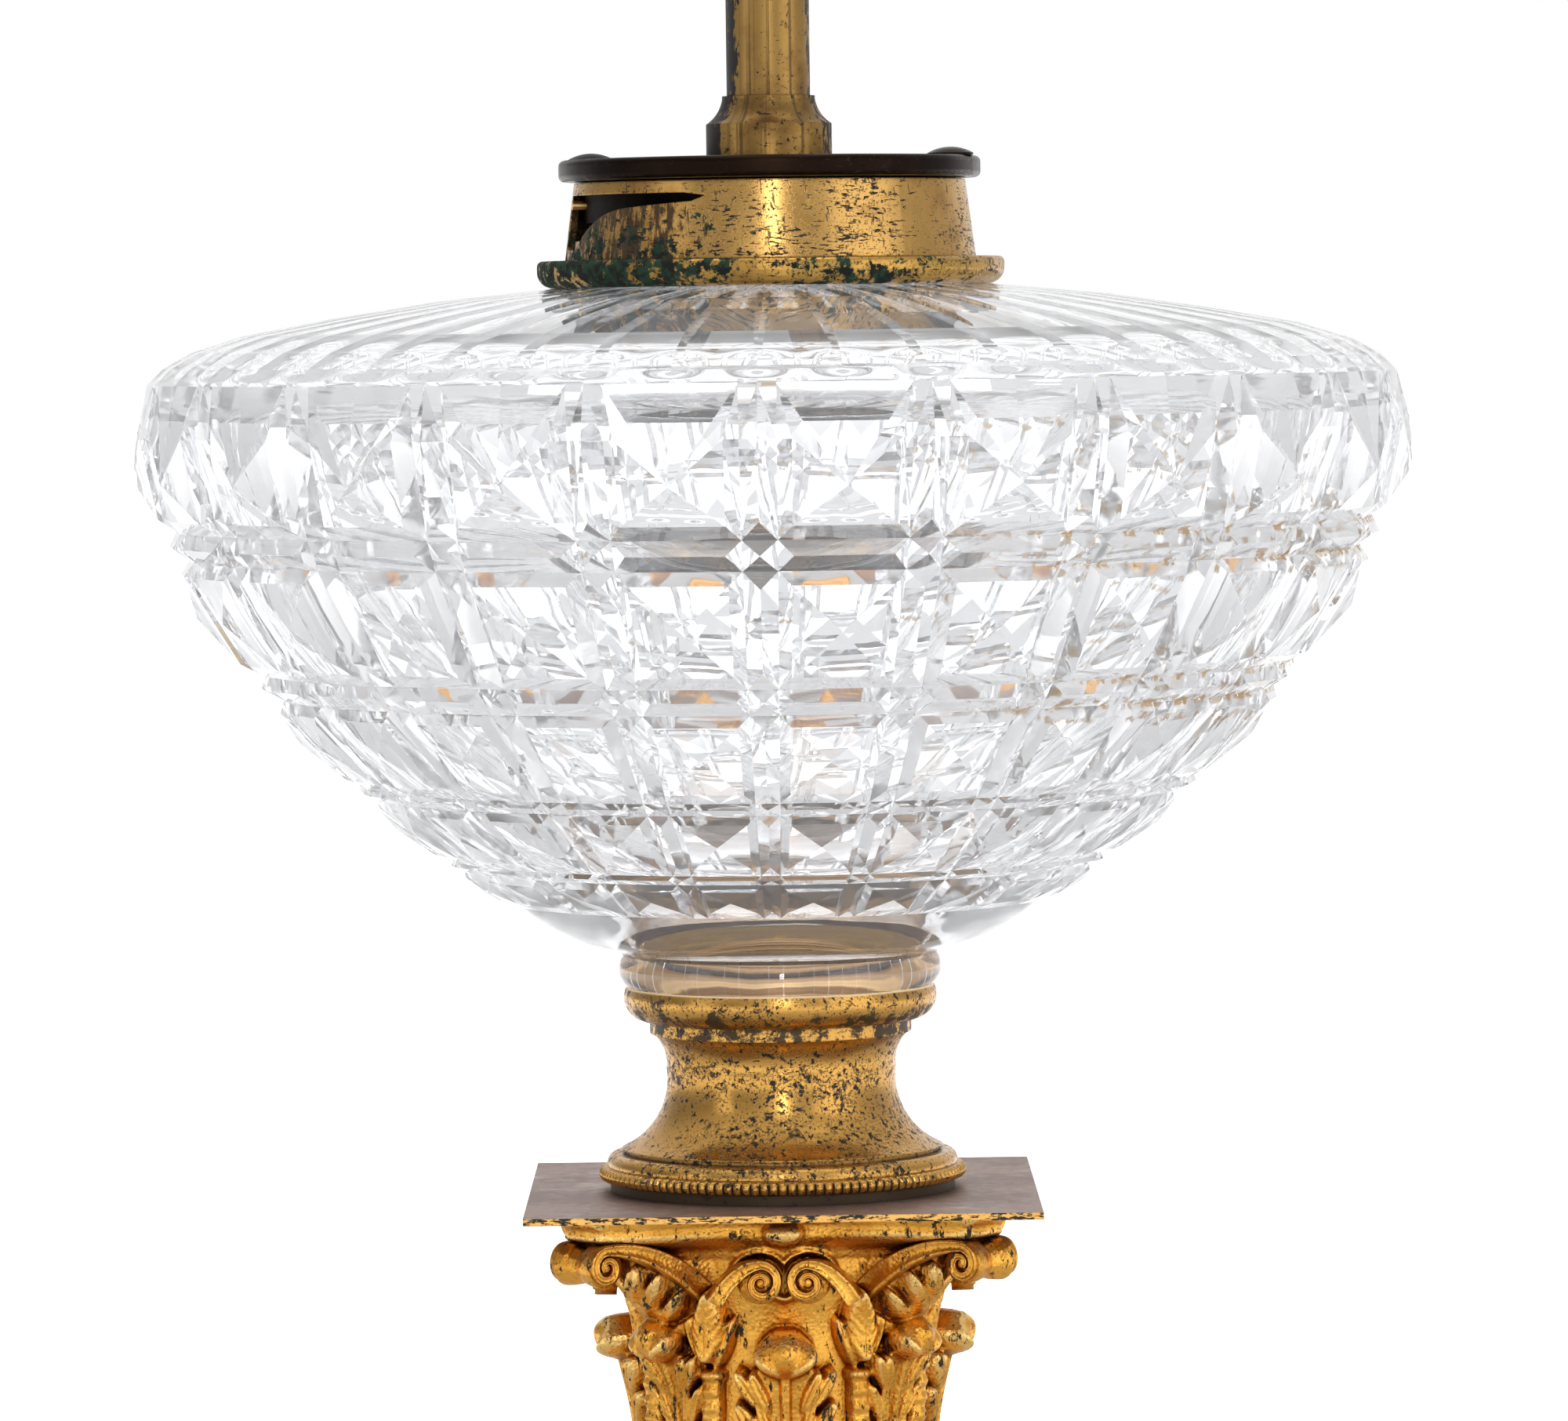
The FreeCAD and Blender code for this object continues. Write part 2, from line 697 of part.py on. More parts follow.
def make_column_shaft():
    """Hollow tapered shaft with round-ended flutes, a flared foot and an astragal at its top."""
    body = new_body("column_shaft", SHAFT_FOOT)
    neck = "(shaft_rise - astragal_rise)"
    turned(
        body,
        [
            (COLUMN_BORE, "0"),
            ("shaft_foot_radius + shaft_flare", "0"),
            ("via", "shaft_foot_radius + 0.3*shaft_flare", "0.35*flare_rise"),
            ("shaft_foot_radius", "flare_rise"),
            ("shaft_top_radius", neck),
            ("shaft_top_radius + astragal_rise/4", neck),
            ("via", "shaft_top_radius + 3*astragal_rise/4", f"{neck} + astragal_rise/2"),
            ("shaft_top_radius + astragal_rise/4", "shaft_rise"),
            (COLUMN_BORE, "shaft_rise"),
        ],
    )
    foot = "(flare_rise + flute_margin)"
    top = f"({neck} - flute_margin)"
    lean = f"atan((shaft_foot_radius - shaft_top_radius)/({neck} - flare_rise))"
    flute_places = []
    for height in (foot, top):
        share = f"({height} - flare_rise)/({neck} - flare_rise)"
        surface = f"(shaft_foot_radius - (shaft_foot_radius - shaft_top_radius)*{share})"
        radius = f"({surface}*pi/{FLUTES}*{FLUTE_WIDTH_SHARE})"
        flute_places.append((f"{surface} + {FLUTE_LIFT_SHARE}*{radius}", height, radius))
    cone = body.newObject("PartDesign::SubtractiveCone", "flute")
    cone.setExpression("Radius1", linked(flute_places[0][2]))
    cone.setExpression("Radius2", linked(flute_places[1][2]))
    cone.setExpression("Height", linked(f"({top} - {foot})/cos({lean})"))
    balls = []
    for name, place in zip(("foot", "top"), flute_places):
        ball = body.newObject("PartDesign::SubtractiveSphere", f"flute_{name}")
        ball.setExpression("Radius", linked(place[2]))
        balls.append(ball)
    for feature, place in zip((cone, *balls), (flute_places[0], *flute_places)):
        feature.AttachmentSupport = [(plane(body, "XY_Plane"), "")]
        feature.MapMode = "FlatFace"
        feature.setExpression("AttachmentOffset.Base.x", linked(place[0]))
        feature.setExpression("AttachmentOffset.Base.z", linked(place[1]))
    cone.setExpression("AttachmentOffset.Rotation.Axis.y", "-1")
    cone.setExpression("AttachmentOffset.Rotation.Angle", linked(lean))
    document.recompute()
    patterned(body, [cone, *balls], FLUTES)


def at_height(label, shape, foot):
    """A sub-part whose shape is made by formula, placed at its seat."""
    feature = document.addObject("Part::Feature", label)
    feature.Shape = shape
    feature.setExpression("Placement.Base.z", linked(foot))
    return node(feature, label)


def upright_face(points):
    """A face in the upright XZ plane through points given as (across, up)."""
    corners = [FreeCAD.Vector(across, 0, up) for across, up in points]
    return Part.Face(Part.makePolygon([*corners, corners[0]]))


def turned_copies(shape, count, first=0.0):
    """Copies of a shape in a ring about the axis."""
    copies = []
    for index in range(count):
        copy = shape.copy()
        copy.rotate(CENTRE, Z_AXIS, first + index*FULL_TURN/count)
        copies.append(copy)
    return copies


def leaf(root, rise, reach, half_width):
    """One acanthus leaf in layers that lean out and curl at their tips, standing on +X."""
    layers = []
    for width_share, reach_share, rise_share in LEAF_LAYERS:
        tip = (reach - root)*reach_share
        height = rise*rise_share
        half = half_width*width_share
        side = upright_face([(root + tip*out, height*up) for out, up in LEAF_SIDE_SHARES])
        side.translate(FreeCAD.Vector(0, -half, 0))
        slab = side.extrude(FreeCAD.Vector(0, 2*half, 0))
        edge = [(half*out, height*up) for out, up in LEAF_EDGE_SHARES]
        corners = [FreeCAD.Vector(0, across, up) for across, up in edge]
        corners += [FreeCAD.Vector(0, -across, up) for across, up in reversed(edge)]
        front = Part.Face(Part.makePolygon([*corners, corners[0]]))
        layers.append(slab.common(front.extrude(FreeCAD.Vector(2*reach, 0, 0))))
    return layers


def ribbon(path, widths):
    """The outline of a band that follows a path, as wide at each point as the widths say."""
    sides = ([], [])
    for index, point in enumerate(path):
        before = path[max(index - 1, 0)]
        after = path[min(index + 1, len(path) - 1)]
        along = (after - before).normalize()
        across = FreeCAD.Vector(-along.z, 0, along.x)
        sides[0].append(point + across*widths[index])
        sides[1].append(point - across*widths[index])
    return [*sides[0], *reversed(sides[1])]


def scroll(radius, stalk_run, stalk_drop, depth):
    """A band that rises from its stalk, arches over and winds into a spiral with an eye, in the XZ plane.

    The eye is at the origin, the stalk comes from -X and the front faces -Y.
    """
    path = []
    widths = []
    start = FreeCAD.Vector(-stalk_run, 0, -stalk_drop)
    bend = FreeCAD.Vector(-0.55*stalk_run, 0, radius*SCROLL_CROWN_SHARE)
    crown = FreeCAD.Vector(0, 0, radius*(1 - SCROLL_BAND_SHARE))
    for index in range(SCROLL_STALK_POINTS):
        part = index/SCROLL_STALK_POINTS
        path.append(start*(1 - part)**2 + bend*(2*part*(1 - part)) + crown*part**2)
        widths.append(radius*(SCROLL_STALK_SHARE + (SCROLL_BAND_SHARE - SCROLL_STALK_SHARE)*part))
    points = round(SCROLL_TURNS*SCROLL_POINTS_PER_TURN)
    for index in range(points + 1):
        part = index/points
        angle = math.pi/2 - 2*math.pi*SCROLL_TURNS*part
        out = radius*((1 - SCROLL_BAND_SHARE)*(1 - part) + SCROLL_EYE_SHARE*part)
        path.append(FreeCAD.Vector(out*math.cos(angle), 0, out*math.sin(angle)))
        widths.append(radius*SCROLL_BAND_SHARE*(1 - 0.5*part))
    corners = ribbon(path, widths)
    band = Part.Face(Part.makePolygon([*corners, corners[0]]))
    if not band.isValid():
        raise RuntimeError("the band of a scroll crosses itself")
    solid = band.extrude(FreeCAD.Vector(0, depth, 0))
    back_depth = depth*(1 - SCROLL_RELIEF_SHARE)
    back = Part.makeCylinder(
        radius*(1 - SCROLL_BAND_SHARE), back_depth, FreeCAD.Vector(0, depth - back_depth, 0), Y_AXIS
    )
    return [solid, back]


def arch_outline(inset):
    """The abacus seen from above: four hollow sides between four cut horns."""
    reach = value("horn_reach") - inset
    half = value("horn_width")/2
    waist = value("abacus_waist") - inset
    diagonal = math.sqrt(0.5)
    edges = []
    for quarter in range(4):
        side = FreeCAD.Rotation(Z_AXIS, quarter*FULL_TURN/4)
        left = side.multVec(FreeCAD.Vector((half - reach)*diagonal, -(reach + half)*diagonal, 0))
        middle = side.multVec(FreeCAD.Vector(0, -waist, 0))
        right = side.multVec(FreeCAD.Vector((reach - half)*diagonal, -(reach + half)*diagonal, 0))
        horn = side.multVec(FreeCAD.Vector((reach + half)*diagonal, (half - reach)*diagonal, 0))
        edges.append(Part.Arc(left, middle, right).toShape())
        edges.append(Part.LineSegment(right, horn).toShape())
    return Part.Face(Part.Wire(edges))


def capital_bell():
    """The hollow bell under the abacus, with its lip."""
    foot = value("shaft_top_radius")
    lip = value("bell_lip_radius")
    bore = value(COLUMN_BORE)
    top = value("capital_rise - abacus_depth")
    lip_foot = top - value("bell_lip_rise")
    profile = [
        Part.makeLine((bore, 0, 0), (foot, 0, 0)),
        Part.makeLine((foot, 0, 0), (foot, 0, lip_foot/2)),
        Part.Arc(
            FreeCAD.Vector(foot, 0, lip_foot/2),
            FreeCAD.Vector(foot + (lip - foot)*BELL_CURVE_SHARE, 0, lip_foot*0.8),
            FreeCAD.Vector(lip, 0, lip_foot),
        ).toShape(),
        Part.makeLine((lip, 0, lip_foot), (lip, 0, top)),
        Part.makeLine((lip, 0, top), (bore, 0, top)),
        Part.makeLine((bore, 0, top), (bore, 0, 0)),
    ]
    return Part.Face(Part.Wire(profile)).revolve(CENTRE, Z_AXIS, FULL_TURN)


def capital_scrolls():
    """The corner volutes and the inner helices of one side, right half first, then mirrored."""
    scrolls = []
    for kind, turn in (("volute", VOLUTE_TURN), ("helix", HELIX_TURN)):
        offset = value(f"{kind}_offset")
        front = value(f"{kind}_front")
        radius = value(f"{kind}_radius")
        drop = value(f"{kind}_drop")
        bud_place = value("bell_lip_radius")*math.sin(math.radians(BUD_TURN))
        run = abs(offset - bud_place)/math.cos(math.radians(turn))
        stalk_drop = value("capital_rise - bud_foot - bud_rise") - drop
        for piece in scroll(radius, run, stalk_drop, value(f"{kind}_depth")):
            if kind == "helix":
                piece = piece.mirror(CENTRE, X_AXIS)
            piece.rotate(CENTRE, Z_AXIS, turn)
            piece.translate(FreeCAD.Vector(offset, -front, value("capital_rise") - drop))
            scrolls += [piece, piece.mirror(CENTRE, X_AXIS)]
    return scrolls


def capital_bud():
    """A bud on its stalk, which the scrolls grow from."""
    radius = value("bud_radius")
    rise = value("bud_rise")
    foot = value("bud_foot")
    place = value("bell_lip_radius")
    belly = foot + rise*BUD_BELLY_SHARE
    lower = Part.makeCone(radius*BUD_NECK_SHARE, radius, belly - foot, FreeCAD.Vector(place, 0, foot))
    upper = Part.makeCone(radius, radius*BUD_NECK_SHARE, foot + rise - belly, FreeCAD.Vector(place, 0, belly))
    stalk_foot = value("lower_leaf_rise")/2
    stalk_radius = value("stalk_radius")
    stalk_place = place - stalk_radius
    stalk = Part.makeCylinder(stalk_radius, foot - stalk_foot, FreeCAD.Vector(stalk_place, 0, stalk_foot))
    return [lower, upper, stalk]


def make_capital():
    """Gilt Corinthian capital: bell, two rows of eight leaves, buds, scrolls, abacus and fleurons."""
    rise = value("capital_rise")
    depth = value("abacus_depth")
    fillet = value("abacus_fillet")
    root = value("shaft_top_radius - bell_wall/3")
    width = value("leaf_half_width")
    pieces = []
    half_pitch = FULL_TURN/LEAVES/2
    for piece in leaf(root, value("upper_leaf_rise"), value("upper_leaf_reach"), width):
        pieces += turned_copies(piece, LEAVES)
    for piece in leaf(root, value("lower_leaf_rise"), value("lower_leaf_reach"), width):
        pieces += turned_copies(piece, LEAVES, half_pitch)
    for piece in capital_bud():
        for turn in (BUD_TURN, -BUD_TURN):
            pieces += turned_copies(piece, 4, turn)
    for piece in capital_scrolls():
        pieces += turned_copies(piece, 4)
    top_slab = arch_outline(0).extrude(FreeCAD.Vector(0, 0, fillet))
    top_slab.translate(FreeCAD.Vector(0, 0, rise - fillet))
    under_slab = arch_outline(value("abacus_step")).extrude(FreeCAD.Vector(0, 0, depth - fillet))
    under_slab.translate(FreeCAD.Vector(0, 0, rise - depth))
    fleuron = Part.makeCylinder(
        value("fleuron_radius"),
        value("fleuron_depth"),
        FreeCAD.Vector(value("abacus_waist - fleuron_radius/3"), 0, value("capital_rise - fleuron_depth")),
    )
    pieces += [top_slab, under_slab, *turned_copies(fleuron, 4)]
    bore = Part.makeCylinder(value(COLUMN_BORE), rise)
    at_height("capital", capital_bell().multiFuse(pieces).cut(bore), CAPITAL_FOOT)


def make_abacus_plate():
    """Thin square plate between the capital and the neck."""
    body = new_body("abacus_plate", PLATE_FOOT)
    padded(body, square_outline(body, "plate", "plate_width"), "plate_depth")
    pocketed(body, round_outline(body, "rod_hole", ROD_HOLE, "XY_Plane"), "plate_depth")


def make_gadroon_rim():
    """Rim of upright beads on a recessed foot."""
    body = new_body("gadroon_rim", RIM_FOOT)
    middle = "(rim_rise + rim_foot_rise)/2"
    swell = "(rim_rise - rim_foot_rise)/2"
    turned(
        body,
        [
            ("rim_bore", "0"),
            ("rim_radius - rim_recess", "0"),
            ("rim_radius - rim_recess", "rim_foot_rise"),
            (f"rim_radius - {swell}", "rim_foot_rise"),
            ("via", "rim_radius", middle),
            (f"rim_radius - {swell}", "rim_rise"),
            ("rim_bore", "rim_rise"),
        ],
    )
    notch = outline(
        body,
        "notch",
        [
            ("rim_radius - bead_cut", "0"),
            ("rim_radius + bead_cut", "-1.3*bead_cut"),
            ("rim_radius + bead_cut", "1.3*bead_cut"),
        ],
        "XY_Plane",
    )
    patterned(body, [pocketed(body, notch, "rim_rise")], BEADS)


def make_neck_pedestal():
    """Spun brass neck: band, groove, deep cove, fillet and torus, with a web for the rod."""
    body = new_body("neck_pedestal", NECK_FOOT)
    cove_foot = "(neck_band_rise + neck_groove)"
    cove_top = f"({cove_foot} + cove_rise)"
    torus_foot = f"({cove_top} + neck_fillet_rise)"
    waist = f"({cove_foot} + 0.69*cove_rise)"
    fillet_radius = "(cove_top_radius + neck_groove/2)"
    inner = "(cove_waist_radius - neck_wall)"
    web_foot = f"({torus_foot} - neck_web - neck_groove)"
    turned(
        body,
        [
            ("cove_foot_radius - neck_wall", "0"),
            ("neck_foot_radius", "0"),
            ("neck_foot_radius", "0.2*neck_band_rise"),
            ("via", "neck_foot_radius - 0.2*neck_band_rise", "0.72*neck_band_rise"),
            ("(neck_foot_radius + cove_foot_radius)/2 - 0.3*neck_groove", "neck_band_rise"),
            ("cove_foot_radius - neck_groove", "neck_band_rise"),
            ("cove_foot_radius - neck_groove", cove_foot),
            ("cove_foot_radius", cove_foot),
            ("via", "cove_waist_radius + 0.27*(cove_foot_radius - cove_waist_radius)", f"{cove_foot} + 0.24*cove_rise"),
            ("cove_waist_radius", waist),
            ("via", "cove_waist_radius + 0.17*(cove_top_radius - cove_waist_radius)", f"{cove_foot} + 0.86*cove_rise"),
            ("cove_top_radius", cove_top),
            (fillet_radius, cove_top),
            (fillet_radius, torus_foot),
            (f"{fillet_radius} + neck_groove", torus_foot),
            ("via", "neck_torus_radius", f"{torus_foot} + 0.54*(neck_rise - {torus_foot})"),
            ("glass_foot_radius", "neck_rise"),
            ("cup_screw_radius", "neck_rise"),
            ("cup_screw_radius", f"{web_foot} + neck_web"),
            ("rod_radius", f"{web_foot} + neck_web"),
            ("rod_radius", web_foot),
            (inner, web_foot),
            (inner, waist),
            ("via", f"{inner} + 0.27*(cove_foot_radius - cove_waist_radius)", f"{cove_foot} + 0.24*cove_rise"),
            ("cove_foot_radius - neck_wall", cove_foot),
        ],
    )


def make_font_cup():
    """Brass ferrule: a screw for the neck and a cup that the glass foot is cemented on."""
    body = new_body("font_cup", f"{GLASS_FOOT} - cup_screw_rise")
    flange = "(cup_screw_rise + cup_wall)"
    top = "(cup_screw_rise + cup_rise)"
    turned(
        body,
        [
            ("0", "cup_screw_rise"),
            ("cup_screw_radius - 2*cup_wall", "cup_screw_rise"),
            ("cup_screw_radius - 2*cup_wall", "0"),
            ("cup_screw_radius", "0"),
            ("cup_screw_radius", "cup_screw_rise"),
            ("cup_radius", "cup_screw_rise"),
            ("cup_radius", top),
            ("cup_radius - cup_wall", top),
            ("cup_radius - cup_wall", flange),
            ("0", flange),
        ],
    )


def make_foot_cement():
    """Plaster that fills the glass foot round the cup."""
    body = new_body("foot_cement", f"{GLASS_FOOT} - cup_screw_rise")
    flange = "(cup_screw_rise + cup_wall)"
    cup_top = "(cup_screw_rise + cup_rise)"
    turned(
        body,
        [
            ("0", flange),
            ("cup_radius - cup_wall", flange),
            ("cup_radius - cup_wall", cup_top),
            ("cup_radius", cup_top),
            ("cup_radius", "cup_screw_rise"),
            (CUP_SOCKET, "cup_screw_rise"),
            (CUP_SOCKET, f"{cup_top} + cement_depth"),
            ("0", f"{cup_top} + cement_depth"),
        ],
    )


class CutGlass:
    """The places on the outside of the cut font: its swell, its facets and its fluted dome."""

    def __init__(self):
        self.foot = value("cut_foot_height")
        self.belly = value("belly_height")
        self.belly_radius = value("belly_radius")
        self.foot_radius = value("cut_foot_radius")
        self.dome_rise = value("dome_rise")
        self.shoulder = self.belly + value("shoulder_rise")
        self.landing = value(f"{COLLAR_FOOT_RADIUS} + dome_landing")
        self.half_pitch = math.pi/COLUMNS
        self.pair_half = self.half_pitch*PAIR_SHARE
        self.flank = self.half_pitch*FLANK_SHARE
        self.groove_half = self.half_pitch - self.pair_half
        self.block_half = self.groove_half - self.flank
        self.faces = []

    def height(self, share):
        """A height between the foot of the cutting and the belly."""
        return self.foot + (self.belly - self.foot)*share

    def swell(self, height):
        """The radius of the uncut glass."""
        down = max(self.belly - height, 0)/(self.belly - self.foot)
        power = SWELL_POWER + SWELL_POWER_GAIN*down*down
        return self.belly_radius - (self.belly_radius - self.foot_radius)*down**power

    def point(self, angle, radius, height):
        """A place in a column, its angle counted from the column's middle."""
        return FreeCAD.Vector(
            radius*math.cos(self.middle + angle), radius*math.sin(self.middle + angle), height
        )

    def on_skin(self, angle, height, lift_share=0.0):
        """A place on the uncut glass, or a share of the radius above it."""
        return self.point(angle, self.swell(height)*(1 + lift_share), height)

    def pit(self, angle, height):
        """A place on the bottom of a groove."""
        return self.on_skin(angle, height, -GROOVE_SHARE)

    def facet(self, *corners):
        """Adds a flat face; four corners that don't lie in a plane make two."""
        normal = (corners[1] - corners[0]).cross(corners[2] - corners[0]).normalize()
        if len(corners) == 4 and abs(normal.dot(corners[3] - corners[0])) > Part.Precision.confusion():
            self.facet(corners[0], corners[1], corners[2])
            self.facet(corners[0], corners[2], corners[3])
            return
        self.faces.append(Part.Face(Part.makePolygon([*corners, corners[0]])))

    def groove_edge(self, height):
        """How far a groove's flank reaches up or down from its bottom."""
        return self.swell(height)*self.flank

    def pyramid(self, low, high, tips=()):
        """Four facets over a block, or seven where the block runs out into the shoulder."""
        left, right = -self.block_half, self.block_half
        foot_left, foot_right = self.on_skin(left, low), self.on_skin(right, low)
        top_left, top_right = self.on_skin(left, high), self.on_skin(right, high)
        middle = low + (high - low)*(APEX_SHARE if tips else 0.5)
        apex = self.on_skin(0, middle, RAISE_SHARE)
        self.facet(foot_left, foot_right, apex)
        self.facet(foot_left, apex, top_left)
        self.facet(foot_right, apex, top_right)
        crown = [top_left, *tips, top_right]
        for one, other in zip(crown, crown[1:]):
            self.facet(apex, one, other)

    def block(self, lower_groove, upper_groove):
        """A block with its four flanks down into the grooves round it."""
        low = lower_groove + self.groove_edge(lower_groove)
        high = upper_groove - self.groove_edge(upper_groove)
        self.pyramid(low, high)
        for side in (-1, 1):
            pits = [self.pit(side*self.groove_half, height) for height in (lower_groove, upper_groove)]
            corners = [self.on_skin(side*self.block_half, height) for height in (low, high)]
            self.facet(pits[0], corners[0], corners[1], pits[1])
        for groove, edge in ((lower_groove, low), (upper_groove, high)):
            self.facet(
                self.pit(-self.groove_half, groove),
                self.pit(self.groove_half, groove),
                self.on_skin(self.block_half, edge),
                self.on_skin(-self.block_half, edge),
            )

    def upright_bar(self, lower_groove, upper_groove):
        """The ridge between the two upright grooves of a pair, with hipped ends."""
        pair = self.half_pitch
        ends = [
            self.on_skin(pair, groove + side*self.swell(groove)*self.pair_half, -RIDGE_SHARE)
            for groove, side in ((lower_groove, 1), (upper_groove, -1))
        ]
        for side in (-1, 1):
            pits = [self.pit(pair + side*self.pair_half, groove) for groove in (lower_groove, upper_groove)]
            self.facet(pits[0], ends[0], ends[1], pits[1])
        for groove, end in zip((lower_groove, upper_groove), ends):
            self.facet(self.pit(pair - self.pair_half, groove), self.pit(pair + self.pair_half, groove), end)

    def level_bar(self, lower_groove, upper_groove):
        """The ridge between two level grooves, with hipped ends, and the diamond at the crossing."""
        middle = (lower_groove + upper_groove)/2
        inset = (upper_groove - lower_groove)/2/self.swell(middle)
        ends = [self.on_skin(side*(self.groove_half - inset), middle, -RIDGE_SHARE) for side in (-1, 1)]
        for groove in (lower_groove, upper_groove):
            self.facet(self.pit(-self.groove_half, groove), self.pit(self.groove_half, groove), ends[1], ends[0])
        for side, end in zip((-1, 1), ends):
            pits = [self.pit(side*self.groove_half, groove) for groove in (lower_groove, upper_groove)]
            self.facet(*pits, end)
        pair = self.half_pitch
        diamond = [
            self.pit(pair + side*self.pair_half, groove)
            for side, groove in ((-1, lower_groove), (1, lower_groove), (1, upper_groove), (-1, upper_groove))
        ]
        apex = self.on_skin(pair, middle, -RIDGE_SHARE)
        for one, other in zip(diamond, diamond[1:] + diamond[:1]):
            self.facet(one, other, apex)

    def dome_point(self, ring, angle):
        """A place on one of the dome's rings, between whose corners the glass is flat."""
        rise_share, radius_share = DOME_SHARES[ring]
        radius = self.landing + (self.belly_radius - self.landing)*radius_share
        height = self.shoulder + (self.belly + self.dome_rise - self.shoulder)*rise_share
        half_flat = self.half_pitch/FLATS_PER_COLUMN
        off = (angle % (2*half_flat)) - half_flat
        return self.point(angle, radius*math.cos(half_flat)/math.cos(off), height)

    def run_out(self, groove):
        """The top row: its grooves end in points on the shoulder."""
        low = groove + self.groove_edge(groove)
        taper = self.height(TAPER_SHARE)
        tip_left = self.dome_point(0, -self.groove_half)
        tip_right = self.dome_point(0, self.groove_half)
        self.pyramid(low, taper, (tip_left, self.dome_point(0, 0), tip_right))
        self.facet(
            self.pit(-self.groove_half, groove),
            self.pit(self.groove_half, groove),
            self.on_skin(self.block_half, low),
            self.on_skin(-self.block_half, low),
        )
        pair = self.half_pitch
        hip = self.on_skin(pair, groove + self.swell(groove)*self.pair_half, -RIDGE_SHARE)
        ridge = self.on_skin(pair, taper, -RIDGE_SHARE)
        crown = self.dome_point(0, pair)
        for side, tip in ((-1, tip_right), (1, self.dome_point(0, pair + self.pair_half))):
            foot = self.pit(pair + side*self.pair_half, groove)
            head = self.pit(pair + side*self.pair_half, taper)
            self.facet(foot, hip, ridge, head)
            self.facet(head, ridge, crown)
            self.facet(head, crown, tip)
        self.facet(self.pit(pair - self.pair_half, groove), self.pit(pair + self.pair_half, groove), hip)
        for side, tip in ((-1, tip_left), (1, tip_right)):
            head = self.pit(side*self.groove_half, taper)
            corner = self.on_skin(side*self.block_half, taper)
            self.facet(self.pit(side*self.groove_half, groove), self.on_skin(side*self.block_half, low), corner, head)
            self.facet(head, corner, tip)

    def dome_flats(self):
        """The flats of one column on the dome, from the shoulder to the landing of the flange."""
        for side in (-1, 1):
            corner = side*self.half_pitch
            tip = self.dome_point(0, side*self.groove_half)
            foot = [self.dome_point(0, 0), tip, self.dome_point(0, corner)]
            for ring in range(1, len(DOME_SHARES)):
                head = [self.dome_point(ring, corner), self.dome_point(ring, 0)]
                self.faces.append(Part.Face(Part.makePolygon([*foot, *head, foot[0]])))
                foot = list(reversed(head))

    def cut(self):
        """Makes all facets of all columns, and gives the outlines at their foot and head."""
        foot = []
        head = []
        for column in range(COLUMNS):
            self.middle = math.radians(PAIR_AZIMUTH) + (2*column + 1)*self.half_pitch
            rows = [[self.height(share) for share in row] for row in ROW_SHARES]
            for row, following in zip(rows, rows[1:]):
                self.block(*row)
                self.upright_bar(*row)
                self.level_bar(row[1], following[0])
            self.run_out(rows[-1][0])
            self.dome_flats()
            foot += [self.pit(-self.groove_half, self.foot), self.pit(self.groove_half, self.foot)]
            head += [self.dome_point(-1, 0), self.dome_point(-1, self.half_pitch)]
        return foot, head


def level_face(corners, radius, height):
    """A level face between an outline of straight edges and a circle inside it."""
    rim = Part.Wire(Part.makePolygon([*corners, corners[0]]).Edges)
    circle = Part.Wire(Part.makeCircle(radius, FreeCAD.Vector(0, 0, height)))
    return Part.makeFace([rim, circle], "Part::FaceMakerBullseye")


def turned_faces(points):
    """The faces that an open outline in the upright plane makes when it turns about the axis."""
    places = [FreeCAD.Vector(point[-2], 0, point[-1]) for point in points]
    edges = []
    index = 0
    while index < len(points) - 1:
        if points[index + 1][0] == "via":
            edges.append(Part.Arc(*places[index:index + 3]).toShape())
            index += 2
        else:
            edges.append(Part.makeLine(places[index], places[index + 1]))
            index += 1
    return Part.Wire(edges).revolve(CENTRE, Z_AXIS, FULL_TURN).Faces


def glass_foot_faces(foot_radius, foot_height):
    """Outside of the foot ring and the smooth band up to the cutting, and the socket for the cup."""
    radius = value("glass_foot_radius")
    ring = value("foot_ring_rise")
    neck = radius + value("foot_ring_swell")/3
    band_radius = neck + value("band_foot_spread")
    band_height = ring + value("band_foot_rise")
    socket = value(CUP_SOCKET)
    depth = value("cup_rise + cement_depth")
    outside = [
        (0.0, depth),
        (socket, depth),
        (socket, 0.0),
        (radius, 0.0),
        ("via", radius + value("foot_ring_swell"), ring*0.55),
        (neck, ring),
        (band_radius, band_height),
        (
            "via",
            band_radius + (foot_radius - band_radius)*BAND_CURVE_SHARES[0],
            band_height + (foot_height - band_height)*BAND_CURVE_SHARES[1],
        ),
        (foot_radius, foot_height),
    ]
    return turned_faces(outside)


def glass_inside_faces(glass):
    """Inside of the reservoir, up through the mouth and down the outside of the glass neck."""
    inner = glass.belly_radius - value("glass_wall")
    floor = value("cup_rise + cement_depth + glass_floor")
    top = glass.belly + glass.dome_rise
    mouth = value(MOUTH_RADIUS)
    neck = value(GLASS_NECK_RADIUS)
    lip = top + value(GLASS_NECK_RISE)
    places = [(inner*out, glass.belly + glass.dome_rise*up) for out, up in CEILING_SHARES]
    hollow = [
        (0.0, floor),
        (inner*FLOOR_SHARE, floor),
        ("via", inner*HOLLOW_SHARES[0], floor + (glass.belly - floor)*HOLLOW_SHARES[1]),
        (inner, glass.belly),
        ("via", *places[0]),
        places[1],
        places[2],
        (mouth, top - value("lip_wall")/2),
        (mouth, lip),
        (neck, lip),
        (neck, top),
    ]
    return turned_faces(hollow)


